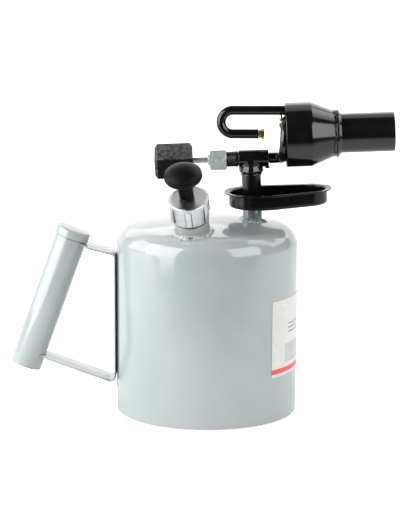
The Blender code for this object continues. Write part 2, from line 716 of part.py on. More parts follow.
def build_pump_barrel(filler):
    gasket = ring_profile(COLLAR_RADIUS + SLIDE_GAP, NECK_RADIUS, GASKET_FOOT, GASKET_FOOT + GASKET_THICKNESS)
    turned("cap_gasket", gasket, MIDDLE_STEPS, "rubber", filler)
    collar_foot = COLLAR_TOP - COLLAR_LENGTH
    barrel = [
        (BARREL_BORE, BARREL_FOOT),
        (BARREL_RADIUS, BARREL_FOOT),
        (BARREL_RADIUS, collar_foot - COLLAR_TAPER),
        (COLLAR_RADIUS, collar_foot),
        (COLLAR_RADIUS, COLLAR_TOP),
        (BARREL_BORE, COLLAR_TOP),
    ]
    turned("pump_barrel", barrel, MIDDLE_STEPS, "bare_steel", filler)
    plug_radius = BARREL_BORE - SEAT_GAP
    cage = [
        (CAGE_PORT_RADIUS, CAGE_TOP),
        (plug_radius, CAGE_TOP),
        (plug_radius, FLANGE_TOP),
        (BARREL_RADIUS, FLANGE_TOP),
        (BARREL_RADIUS, FLANGE_FOOT),
        (CAGE_BODY_RADIUS, FLANGE_FOOT),
        (CAGE_BODY_RADIUS, CAGE_FOOT),
        (CAGE_PORT_RADIUS, CAGE_FOOT),
        (CAGE_PORT_RADIUS, CHAMBER_FOOT),
        (CAGE_CHAMBER_RADIUS, CHAMBER_FOOT),
        (CAGE_CHAMBER_RADIUS, CHAMBER_TOP),
        (CAGE_PORT_RADIUS, CHAMBER_TOP),
    ]
    turned("foot_valve_cage", cage, SMALL_STEPS, "brass", filler)
    turned(
        "foot_valve_seal",
        rod_profile(POPPET_RADIUS, SEAL_TOP - SEAL_THICKNESS, SEAL_TOP),
        SMALL_STEPS,
        "rubber",
        filler,
    )
    poppet = [
        (0, POPPET_TOP),
        (POPPET_RADIUS, POPPET_TOP),
        (POPPET_RADIUS, POPPET_FOOT),
        (POPPET_STEM_RADIUS, POPPET_FOOT),
        (POPPET_STEM_RADIUS, POPPET_FOOT - POPPET_STEM_LENGTH),
        (0, POPPET_FOOT - POPPET_STEM_LENGTH),
    ]
    turned("foot_valve_poppet", poppet, SMALL_STEPS, "brass", filler)
    spring_top = POPPET_FOOT - VALVE_SPRING_WIRE - SLIDE_GAP
    spring_foot = CHAMBER_FOOT + VALVE_SPRING_WIRE + SLIDE_GAP
    points = VALVE_SPRING_TURNS * SMALL_STEPS // 2
    line = []
    for step in range(points + 1):
        turn = 2 * math.pi * VALVE_SPRING_TURNS * step / points
        level = spring_foot + (spring_top - spring_foot) * step / points
        line.append(Vector((VALVE_SPRING_RADIUS * math.cos(turn), VALVE_SPRING_RADIUS * math.sin(turn), level)))
    lofted("foot_valve_spring", tube_rings(line, VALVE_SPRING_WIRE, 5), "bare_steel", filler)


def build_plunger(filler):
    """The hand pump's moving pieces, pushed fully in. The knob's moulding sits to one side of its rod."""
    cup_bore = ROD_RADIUS + SLIDE_GAP
    cup_radius = BARREL_BORE - SLIDE_GAP
    rod = [
        (0, NUT_FOOT),
        (ROD_RADIUS, NUT_FOOT),
        (ROD_RADIUS, SHOULDER_FOOT),
        (ROD_RADIUS + ROD_COLLAR_RISE, SHOULDER_FOOT),
        (ROD_RADIUS + ROD_COLLAR_RISE, SHOULDER_FOOT + WASHER_THICKNESS),
        (ROD_RADIUS, SHOULDER_FOOT + WASHER_THICKNESS),
        (ROD_RADIUS, STEM_FOOT + KNOB_BORE_DEPTH - SEAT_GAP),
        (0, STEM_FOOT + KNOB_BORE_DEPTH - SEAT_GAP),
    ]
    turned("pump_rod", rod, SMALL_STEPS, "bare_steel", filler)
    cup = [
        (cup_bore, CUP_FOOT),
        (cup_radius - CUP_WALL / 2, CUP_FOOT),
        (cup_radius, CUP_FOOT + CUP_WALL),
        (cup_radius, CUP_TOP),
        (cup_radius - CUP_WALL / 2, CUP_TOP),
        (cup_radius - CUP_WALL, CUP_FOOT + CUP_WALL),
        (cup_bore, CUP_FOOT + CUP_WALL),
    ]
    turned("piston_cup", cup, MIDDLE_STEPS, "leather", filler)
    washer = ring_profile(cup_bore, WASHER_RADIUS, WASHER_FOOT, WASHER_FOOT + WASHER_THICKNESS)
    turned("piston_washer", washer, SMALL_STEPS, "zinc_plate", filler)
    corner_radius = PISTON_NUT_FLATS / math.sqrt(3)
    ends = [polygon(corner_radius, 6, 0, level) for level in (NUT_FOOT, NUT_TOP)]
    nut = lofted("piston_nut", ends, "brass", filler)
    hole = rod_profile(cup_bore, NUT_FOOT - CUT_OVERRUN, NUT_TOP + CUT_OVERRUN)
    combine(nut, turned("piston_nut_hole", hole, SMALL_STEPS, None, filler), "DIFFERENCE")

    dome_radius = (KNOB_RADIUS**2 + KNOB_DOME_HEIGHT**2) / (2 * KNOB_DOME_HEIGHT)
    rim_top = STEM_TOP + KNOB_SKIRT_HEIGHT
    dome_centre = rim_top + KNOB_DOME_HEIGHT - dome_radius
    edge_turn = math.asin((rim_top - dome_centre) / dome_radius)
    dome = arc((0, dome_centre), dome_radius, edge_turn, math.pi / 2, CORNER_STEPS + 2)[:-1]
    bore = ROD_RADIUS + SLIDE_GAP
    bore_top = STEM_FOOT + KNOB_BORE_DEPTH

    def aside(ring, offset):
        return [(x, y - offset, z) for x, y, z in ring]

    rings = []
    for reach, level in ((bore, bore_top), (bore, STEM_FOOT)):
        rings.append(polygon(reach, LARGE_STEPS, 0, level))
    stem_levels = (
        (KNOB_STEM_FOOT_RADIUS, STEM_FOOT, KNOB_STEM_OFFSET),
        (KNOB_STEM_TOP_RADIUS, STEM_TOP - KNOB_SKIRT_HEIGHT / 2, KNOB_HEAD_OFFSET),
    )
    for reach, level, offset in stem_levels:
        ring = []
        for step in range(LARGE_STEPS):
            turn = 2 * math.pi * step / LARGE_STEPS
            hollow = max(0, math.cos(KNOB_FLUTE_COUNT * turn)) * KNOB_FLUTE_DEPTH_SHARE
            fluted = reach * (1 - hollow)
            ring.append((fluted * math.cos(turn), fluted * math.sin(turn), level))
        rings.append(aside(ring, offset))
    skirt = ((KNOB_RADIUS * KNOB_FACE_SHARE, STEM_TOP), (KNOB_RADIUS, STEM_TOP + KNOB_SKIRT_HEIGHT / 2))
    for reach, level in skirt + tuple(dome):
        rings.append(aside(polygon(reach, LARGE_STEPS, 0, level), KNOB_HEAD_OFFSET))
    lofted("pump_knob", rings, "pump_plastic", filler)


def build_fuel_line(head):
    dip_top = BUSH_HEIGHT - RISER_SPIGOT_LENGTH - 2 * SEAT_GAP
    dip_foot = DIP_CLEARANCE - crown_height(BUSH_X) - BUSH_LIFT
    collar_radius = BUSH_BORE - SEAT_GAP
    dip = [
        (DIP_BORE, dip_foot),
        (DIP_RADIUS, dip_foot),
        (DIP_RADIUS, dip_top - DIP_COLLAR_LENGTH),
        (collar_radius, dip_top - DIP_COLLAR_LENGTH),
        (collar_radius, dip_top),
        (DIP_BORE, dip_top),
    ]
    turned("dip_tube", dip, SMALL_STEPS, "bare_steel", head)
    sleeve = DIP_RADIUS + SLIDE_GAP
    strainer_foot = dip_foot - STRAINER_DROP
    strainer_top = strainer_foot + STRAINER_LENGTH
    strainer = [
        (0, strainer_foot),
        (STRAINER_RADIUS, strainer_foot),
        (STRAINER_RADIUS, strainer_top - STRAINER_WALL),
        (sleeve + STRAINER_WALL, strainer_top),
        (sleeve, strainer_top),
        (sleeve, strainer_top - 2 * STRAINER_WALL),
        (STRAINER_RADIUS - STRAINER_WALL, strainer_top - 2 * STRAINER_WALL),
        (STRAINER_RADIUS - STRAINER_WALL, strainer_foot + STRAINER_WALL),
        (0, strainer_foot + STRAINER_WALL),
    ]
    turned("fuel_strainer", strainer, SMALL_STEPS, "brass", head)

    spigot_radius = BUSH_BORE - SEAT_GAP
    riser_top = VALVE_AXIS_HEIGHT
    weld_foot = VALVE_AXIS_HEIGHT - TEE_RADIUS - RISER_WELD_DROP
    riser = [
        (RISER_BORE, BUSH_HEIGHT - RISER_SPIGOT_LENGTH),
        (spigot_radius, BUSH_HEIGHT - RISER_SPIGOT_LENGTH),
        (spigot_radius, RISER_FOOT),
        (RISER_RADIUS, RISER_FOOT),
        (RISER_RADIUS, weld_foot),
        (RISER_WELD_RADIUS, weld_foot + RISER_WELD_DROP / 2),
        (RISER_WELD_RADIUS, VALVE_AXIS_HEIGHT - TEE_RADIUS / 2),
        (RISER_RADIUS, riser_top),
        (RISER_BORE, riser_top),
    ]
    pipe = turned("riser_pipe", riser, MIDDLE_STEPS, "black_enamel", head)
    saddle = turned(
        "riser_saddle",
        rod_profile(TEE_RADIUS + SEAT_GAP, TEE_BACK - CUT_OVERRUN, TEE_FRONT + CUT_OVERRUN),
        LARGE_STEPS,
        None,
        head,
    )
    saddle.location = (0, 0, VALVE_AXIS_HEIGHT)
    saddle.rotation_euler = (0, math.pi / 2, 0)
    combine(pipe, saddle, "DIFFERENCE")


def egg(offset, height):
    """The tray's outline in plan, moved out by the offset: two arcs joined by straight flanks."""
    flank = math.acos((TRAY_WIDE_RADIUS - TRAY_NARROW_RADIUS) / TRAY_SPACING)
    wide = arc((0, 0), TRAY_WIDE_RADIUS + offset, flank, 2 * math.pi - flank, TRAY_WIDE_STEPS)
    narrow = arc((TRAY_SPACING, 0), TRAY_NARROW_RADIUS + offset, -flank, flank, TRAY_NARROW_STEPS)
    turn = Matrix.Rotation(TRAY_TURN, 2)
    return [(*(turn @ Vector((x + TRAY_OFFSET, y))), height) for x, y in wide + narrow]


def build_tray(head):
    top = TRAY_FOOT + TRAY_DEPTH
    corner = TRAY_CORNER_RADIUS
    outside = arc((-corner, TRAY_FOOT + corner), corner, -math.pi / 2, 0, 3)
    inside = arc((-corner, TRAY_FOOT + corner), corner - TRAY_SHEET, 0, -math.pi / 2, 3)
    rim = [
        (0, top - TRAY_SHEET),
        (TRAY_RIM_WIDTH, top - TRAY_SHEET + TRAY_RIM_RISE),
        (TRAY_RIM_WIDTH, top + TRAY_RIM_RISE),
        (-TRAY_SHEET, top),
    ]
    tray = lofted(
        "preheat_tray", [egg(offset, level) for offset, level in outside + rim + inside], "black_enamel", head
    )
    hole = rod_profile(BUSH_BORE, TRAY_FOOT - CUT_OVERRUN, TRAY_FLOOR + CUT_OVERRUN)
    combine(tray, turned("tray_hole", hole, MIDDLE_STEPS, None, head), "DIFFERENCE")


def build_valve(valve, head):
    """The needle valve, lying along Z of its own frame."""
    tee = [
        (STUB_SPIGOT_RADIUS + SEAT_GAP, TEE_BACK),
        (TEE_RADIUS, TEE_BACK),
        (TEE_RADIUS, TEE_FRONT),
        (TEE_BORE, TEE_FRONT),
        (TEE_BORE, STUB_FRONT),
        (STUB_SPIGOT_RADIUS + SEAT_GAP, STUB_FRONT),
    ]
    body = turned("valve_body", tee, LARGE_STEPS, "black_enamel", valve)
    port = turned(
        "riser_port",
        rod_profile(RISER_BORE, VALVE_AXIS_HEIGHT - TEE_RADIUS - CUT_OVERRUN, VALVE_AXIS_HEIGHT),
        SMALL_STEPS,
        None,
        head,
    )
    combine(body, port, "DIFFERENCE")
    seat = [
        (SEAT_MOUTH_RADIUS, SEAT_START),
        (TEE_BORE - SLIDE_GAP, SEAT_START),
        (TEE_BORE - SLIDE_GAP, SEAT_START + SEAT_LENGTH),
        (SEAT_THROAT_RADIUS, SEAT_START + SEAT_LENGTH),
        (SEAT_THROAT_RADIUS, SEAT_START + SEAT_CONE_LENGTH),
    ]
    turned("valve_seat", seat, SMALL_STEPS, "brass", valve)
    stub_end = STUB_FRONT - SEAT_GAP
    stub = [
        (STUB_BORE, stub_end),
        (STUB_SPIGOT_RADIUS, stub_end),
        (STUB_SPIGOT_RADIUS, TEE_BACK - SEAT_GAP),
        (STUB_RADIUS, TEE_BACK - SEAT_GAP),
        (STUB_RADIUS, STUB_BACK),
        (PACKING_BORE, STUB_BACK),
        (PACKING_BORE, STUB_BACK + PACKING_CHAMBER_DEPTH),
        (STUB_BORE, STUB_BACK + PACKING_CHAMBER_DEPTH),
    ]
    turned("gland_stub", stub, MIDDLE_STEPS, "black_enamel", valve)
    ring_radius = PACKING_BORE - SLIDE_GAP
    turned(
        "gland_packing",
        ring_profile(STUB_BORE, ring_radius, PACKING_BACK, PACKING_FRONT),
        SMALL_STEPS,
        "graphite",
        valve,
    )
    turned(
        "gland_follower",
        ring_profile(STUB_BORE, ring_radius, FOLLOWER_BACK, FOLLOWER_FRONT),
        SMALL_STEPS,
        "brass",
        valve,
    )

    corner_radius = NUT_FLATS / math.sqrt(3)
    blank = [polygon(corner_radius, 6, math.pi / 6, level) for level in (NOSE_BACK, NUT_FRONT)]
    nut = lofted("gland_nut", blank, "zinc_plate", valve)
    face_radius = NUT_FLATS / 2
    core = [
        (STUB_BORE, NOSE_BACK),
        (NUT_NOSE_RADIUS, NOSE_BACK),
        (NUT_NOSE_RADIUS, NUT_BACK),
        (face_radius, NUT_BACK),
        (corner_radius + MERGE_DISTANCE, NUT_BACK + NUT_CHAMFER),
        (corner_radius + MERGE_DISTANCE, NUT_FRONT - NUT_CHAMFER),
        (face_radius, NUT_FRONT),
        (STUB_RADIUS + SEAT_GAP, NUT_FRONT),
        (STUB_RADIUS + SEAT_GAP, NUT_BACK + NUT_SHOULDER),
        (STUB_BORE, NUT_BACK + NUT_SHOULDER),
    ]
    combine(nut, turned("gland_nut_core", core, MIDDLE_STEPS, None, valve), "INTERSECT")

    spindle = [
        (0, SPINDLE_BACK),
        (SPINDLE_RADIUS, SPINDLE_BACK),
        (SPINDLE_RADIUS, NEEDLE_START),
        (NEEDLE_TIP_RADIUS, NEEDLE_TIP),
        (0, NEEDLE_TIP),
    ]
    turned("valve_spindle", spindle, SMALL_STEPS, "zinc_plate", valve)

    def knob_ring(inset, level):
        half = VALVE_KNOB_SIDE / 2 - inset
        short = half - VALVE_KNOB_CHAMFER
        corners = []
        for side in range(4):
            turn = Matrix.Rotation(VALVE_KNOB_TURN + math.pi / 4 + side * math.pi / 2, 2)
            corners += [turn @ Vector((half, -short)), turn @ Vector((half, short))]
        return [(corner.x, corner.y, level) for corner in corners]

    chamfer = VALVE_KNOB_END_CHAMFER
    knob_rings = [
        knob_ring(chamfer, KNOB_BACK),
        knob_ring(0, KNOB_BACK + chamfer),
        knob_ring(0, KNOB_FRONT - chamfer),
        knob_ring(chamfer, KNOB_FRONT),
    ]
    knob = lofted("valve_knob", knob_rings, "knob_black", valve)
    screw_hole = KNOB_SCREW_RADIUS + SLIDE_GAP
    spindle_hole = SPINDLE_RADIUS + SLIDE_GAP
    hole = [
        (0, KNOB_BACK - CUT_OVERRUN),
        (KNOB_RECESS_RADIUS, KNOB_BACK - CUT_OVERRUN),
        (KNOB_RECESS_RADIUS, SCREW_SEAT),
        (screw_hole, SCREW_SEAT),
        (screw_hole, SPINDLE_BACK - SEAT_GAP),
        (spindle_hole, SPINDLE_BACK - SEAT_GAP),
        (spindle_hole, KNOB_FRONT + CUT_OVERRUN),
        (0, KNOB_FRONT + CUT_OVERRUN),
    ]
    combine(knob, turned("knob_hole", hole, SMALL_STEPS, None, valve), "DIFFERENCE")
    head_seat = SCREW_SEAT - SEAT_GAP
    screw = [
        (0, head_seat - KNOB_SCREW_HEAD_HEIGHT),
        (KNOB_SCREW_HEAD_RADIUS * KNOB_SCREW_CROWN_SHARE, head_seat - KNOB_SCREW_HEAD_HEIGHT),
        (KNOB_SCREW_HEAD_RADIUS, head_seat - KNOB_SCREW_HEAD_HEIGHT / 2),
        (KNOB_SCREW_HEAD_RADIUS, head_seat),
        (KNOB_SCREW_RADIUS, head_seat),
        (KNOB_SCREW_RADIUS, SPINDLE_BACK - 2 * SEAT_GAP),
        (0, SPINDLE_BACK - 2 * SEAT_GAP),
    ]
    turned("knob_screw", screw, SMALL_STEPS, "zinc_plate", valve)

    spigot_radius = TEE_BORE - SEAT_GAP
    feed = [
        (FEED_BORE, TEE_FRONT - FEED_SPIGOT_LENGTH),
        (spigot_radius, TEE_FRONT - FEED_SPIGOT_LENGTH),
        (spigot_radius, FEED_FRONT_FACE),
        (FEED_RADIUS, FEED_FRONT_FACE),
        (FEED_RADIUS, FEED_END),
        (FEED_BORE, FEED_END),
    ]
    turned("feed_tube", feed, MIDDLE_STEPS, "black_enamel", valve)


def coil_point(turn):
    """A place on the vaporiser coil, whose turns start at the bottom and rise on the -Y side."""
    along = COIL_NEAR_SIDE + COIL_PITCH * (turn / (2 * math.pi) - 0.25)
    return Vector((along, -COIL_RADIUS * math.sin(turn), COIL_CENTRE - COIL_RADIUS * math.cos(turn)))


def coil_line():
    """Centre line: an elbow out of the feed tube, one turn and a quarter, and a sweep up and back."""
    entry = Vector((FEED_END + SEAT_GAP, 0, VALVE_AXIS_HEIGHT))
    first = coil_point(COIL_ENTRY_TURN)
    first_ahead = Vector((0, -math.cos(COIL_ENTRY_TURN), math.sin(COIL_ENTRY_TURN)))
    straight = entry + Vector((COIL_END_STRAIGHT, 0, 0))
    line = [entry]
    line += bezier(
        straight,
        straight + Vector((COIL_ENTRY_HANDLE, 0, 0)),
        first - first_ahead * COIL_ENTRY_HANDLE,
        first,
        BEND_STEPS,
    )
    last_turn = 2.5 * math.pi
    steps = round(COIL_STEPS_PER_TURN * (last_turn - COIL_ENTRY_TURN) / (2 * math.pi))
    for step in range(steps):
        line.append(coil_point(COIL_ENTRY_TURN + (last_turn - COIL_ENTRY_TURN) * step / steps))
    leaving = coil_point(last_turn)
    end = Vector((RETURN_START + SEAT_GAP, 0, BURNER_AXIS_HEIGHT + RETURN_OFFSET))
    back = Vector((math.cos(RETURN_PITCH), 0, -math.sin(RETURN_PITCH)))
    line += bezier(
        leaving,
        leaving + Vector((0, 0, COIL_EXIT_RISE)),
        end + back * COIL_EXIT_SWEEP,
        end + back * COIL_END_STRAIGHT,
        BEND_STEPS,
    )
    return line + [end + back * COIL_END_STRAIGHT, end]


def return_line():
    """Centre line of the tube from the coil back to the jet, in its own frame."""
    line = [Vector((0, 0, 0)), Vector((-RETURN_UPPER_LEG / 2, 0, 0))]
    bend = arc(
        (-RETURN_UPPER_LEG, -RETURN_BEND_RADIUS),
        RETURN_BEND_RADIUS,
        math.pi / 2,
        1.5 * math.pi,
        BEND_STEPS,
    )
    line += [Vector((x, 0, z)) for x, z in bend]
    return line + [Vector((RETURN_LOWER_LEG - RETURN_UPPER_LEG, 0, -2 * RETURN_BEND_RADIUS))]


def build_burner(burner, head):
    inner_start = CASING_RADIUS - CASING_WALL
    inner_end = CONE_END_RADIUS - CASING_WALL
    rounding = CASING_SHOULDER_ROUNDING
    outside = rounded(
        [(CASING_RADIUS, CASING_START), (CASING_RADIUS, CASING_SHOULDER), (CONE_END_RADIUS, CONE_END)],
        [rounding],
    )
    inside = rounded(
        [(inner_start, CASING_START), (inner_start, CASING_SHOULDER - CASING_WALL / 4), (inner_end, CONE_END)],
        [rounding],
    )
    profile = [tuple(point) for point in outside + inside[::-1]]
    turned("burner_casing", profile, LARGE_STEPS, "black_enamel", burner)

    ring_bore = FLAME_RADIUS + SEAT_GAP
    ring = [
        (ring_bore, RING_START),
        (RING_RADIUS, RING_START),
        (RING_RADIUS, RING_END),
        (ring_bore + RING_BEAD_WIDTH, RING_END),
        (ring_bore + RING_BEAD_WIDTH / 2, RING_END + RING_BEAD_LENGTH),
        (ring_bore, RING_END + RING_BEAD_LENGTH),
    ]
    turned("cone_ring", ring, LARGE_STEPS, "black_enamel", burner)
    flame_start = RING_START - FLAME_INSET
    flame = ring_profile(FLAME_RADIUS - FLAME_WALL, FLAME_RADIUS, flame_start, FLAME_END)
    turned("flame_tube", flame, LARGE_STEPS, "black_enamel", burner)

    swept_tube("vaporiser_coil", coil_line(), COIL_TUBE_RADIUS, COIL_TUBE_BORE, "black_enamel", head)
    back = new_frame(
        "return_frame",
        (RETURN_START, 0, BURNER_AXIS_HEIGHT + RETURN_OFFSET),
        (0, RETURN_PITCH, 0),
        head,
    )
    swept_tube("return_bend", return_line(), RETURN_RADIUS, RETURN_BORE, "black_enamel", back)

    jet = new_frame("jet_frame", return_line()[-1], (0, math.pi / 2, 0), back)
    spigot_radius = RETURN_BORE - SLIDE_GAP
    jet_end = SEAT_GAP + JET_NECK_LENGTH + JET_HEAD_LENGTH
    corner_radius = JET_HEAD_FLATS / math.sqrt(3)
    blank = [polygon(corner_radius, 6, 0, level) for level in (-JET_SPIGOT_LENGTH, jet_end)]
    core = [
        (JET_ORIFICE_RADIUS, -JET_SPIGOT_LENGTH),
        (spigot_radius, -JET_SPIGOT_LENGTH),
        (spigot_radius, SEAT_GAP),
        (JET_NECK_RADIUS, SEAT_GAP),
        (JET_NECK_RADIUS, SEAT_GAP + JET_NECK_LENGTH),
        (corner_radius + MERGE_DISTANCE, SEAT_GAP + JET_NECK_LENGTH),
        (corner_radius + MERGE_DISTANCE, jet_end - JET_HEAD_LENGTH / 4),
        (JET_NECK_RADIUS, jet_end),
        (JET_ORIFICE_RADIUS, jet_end),
    ]
    nozzle = lofted("jet", blank, "brass", jet)
    combine(nozzle, turned("jet_core", core, MIDDLE_STEPS, None, jet), "INTERSECT")


def main():
    clear_scene()
    reach = TANK_RADIUS - FILLER_INSET
    filler_x = reach * math.cos(FILLER_BEARING)
    filler_y = reach * math.sin(FILLER_BEARING)
    filler_place = (filler_x, filler_y, crown_height(reach) + NECK_LIFT)
    filler_turn = (0, FILLER_TILT, FILLER_HEADING)
    filler = new_frame("filler_frame", filler_place, filler_turn)
    head_place = (BUSH_X, 0, crown_height(BUSH_X) + BUSH_LIFT)
    head_turn = (0, -HEAD_TILT, 0)
    head = new_frame("head_frame", head_place, head_turn)
    valve = new_frame("valve_frame", (0, 0, VALVE_AXIS_HEIGHT), (0, math.pi / 2, 0), head)
    burner = new_frame("burner_frame", (0, 0, BURNER_AXIS_HEIGHT), (0, math.pi / 2, 0), head)

    build_tank(filler, head)
    welded_stub(
        "filler_neck",
        matrix_of(filler_place, filler_turn),
        NECK_BORE,
        NECK_RADIUS,
        NECK_HEIGHT,
        NECK_WELD_WIDTH,
        NECK_WELD_HEIGHT,
        LARGE_STEPS,
        filler,
    )
    welded_stub(
        "outlet_bush",
        matrix_of(head_place, head_turn),
        BUSH_BORE,
        BUSH_RADIUS,
        BUSH_HEIGHT,
        BUSH_WELD_WIDTH,
        BUSH_WELD_HEIGHT,
        MIDDLE_STEPS,
        head,
    )
    build_handle()
    build_pump_cap(filler)
    build_pump_barrel(filler)
    build_plunger(filler)
    build_fuel_line(head)
    build_tray(head)
    build_valve(valve, head)
    build_burner(burner, head)
    bpy.context.view_layer.update()


main()
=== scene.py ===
"""Looks of the petrol blowlamp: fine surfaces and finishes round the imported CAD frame, in metres."""

import logging
from dataclasses import dataclass, replace
from enum import Enum
from functools import reduce
from math import acos, asin, atan2, cos, hypot, pi, radians, sin, sqrt, tan, tau
from typing import Callable, Iterable, Optional, Sequence

import bmesh
import bpy
from mathutils import Matrix, Vector


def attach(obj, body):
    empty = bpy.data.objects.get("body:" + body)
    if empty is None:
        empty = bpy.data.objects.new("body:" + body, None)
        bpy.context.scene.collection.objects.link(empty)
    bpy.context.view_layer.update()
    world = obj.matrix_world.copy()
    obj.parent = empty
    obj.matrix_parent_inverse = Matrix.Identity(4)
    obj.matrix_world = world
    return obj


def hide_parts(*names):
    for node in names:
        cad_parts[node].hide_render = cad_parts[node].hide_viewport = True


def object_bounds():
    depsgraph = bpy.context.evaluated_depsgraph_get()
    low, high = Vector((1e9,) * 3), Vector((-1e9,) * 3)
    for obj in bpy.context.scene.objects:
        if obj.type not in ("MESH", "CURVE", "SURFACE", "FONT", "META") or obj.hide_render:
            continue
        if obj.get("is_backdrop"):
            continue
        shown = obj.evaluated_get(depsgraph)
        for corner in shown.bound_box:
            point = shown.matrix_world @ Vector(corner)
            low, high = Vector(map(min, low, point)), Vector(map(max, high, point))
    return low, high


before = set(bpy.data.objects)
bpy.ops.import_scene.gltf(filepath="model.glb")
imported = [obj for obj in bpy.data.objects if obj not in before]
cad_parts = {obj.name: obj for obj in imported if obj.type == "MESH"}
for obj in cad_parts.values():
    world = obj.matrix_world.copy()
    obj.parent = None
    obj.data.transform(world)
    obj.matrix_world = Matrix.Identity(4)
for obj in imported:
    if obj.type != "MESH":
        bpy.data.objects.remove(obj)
CAD_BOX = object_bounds()

LOG = logging.getLogger("blowlamp")
Point = tuple[float, float]
Profile = Sequence[Point]
Colour = tuple[float, float, float]
Piece = bpy.types.Object
Socket = bpy.types.NodeSocket

TURN_STEPS = 144
MIDDLE_TURN_STEPS = 96
SMALL_TURN_STEPS = 72
TUBE_STEPS = 64
DRILL_STEPS = 48
DRILL_OVERRUN = 0.004
GAP = 0.0003
SLIDE_GAP = 0.0002
NOISE_LOW = 0.3
NOISE_HIGH = 0.7
MERGE_DISTANCE = 1e-6
END_FACING = 0.9
SMOOTH_ANGLE = radians(38)


class Body(Enum):
    """The moving bodies of the lamp."""

    LAMP = "body"
    PUMP = "pump_unit"
    CAP = "filler_cap"
    PLUNGER = "plunger"
    FOOT_VALVE = "foot_valve"
    SPINDLE = "spindle"
    KNOB = "knob"


@dataclass(frozen=True)
class Placement:
    """A sub-assembly's own frame: its origin, with a lean about Y before a heading about Z."""

    origin: tuple[float, float, float] = (0.0, 0.0, 0.0)
    lean: float = 0.0
    heading: float = 0.0

    def matrix(self) -> Matrix:
        """The frame as a matrix."""
        turn = Matrix.Rotation(self.heading, 4, "Z") @ Matrix.Rotation(self.lean, 4, "Y")
        return Matrix.Translation(self.origin) @ turn

    def inner(self, offset: Sequence[float], lean: float) -> "Placement":
        """A frame inside this one: an origin in it, and a further lean about Y."""
        return Placement(tuple(self.matrix() @ Vector(offset)), self.lean + lean, self.heading)


HERE = Placement()


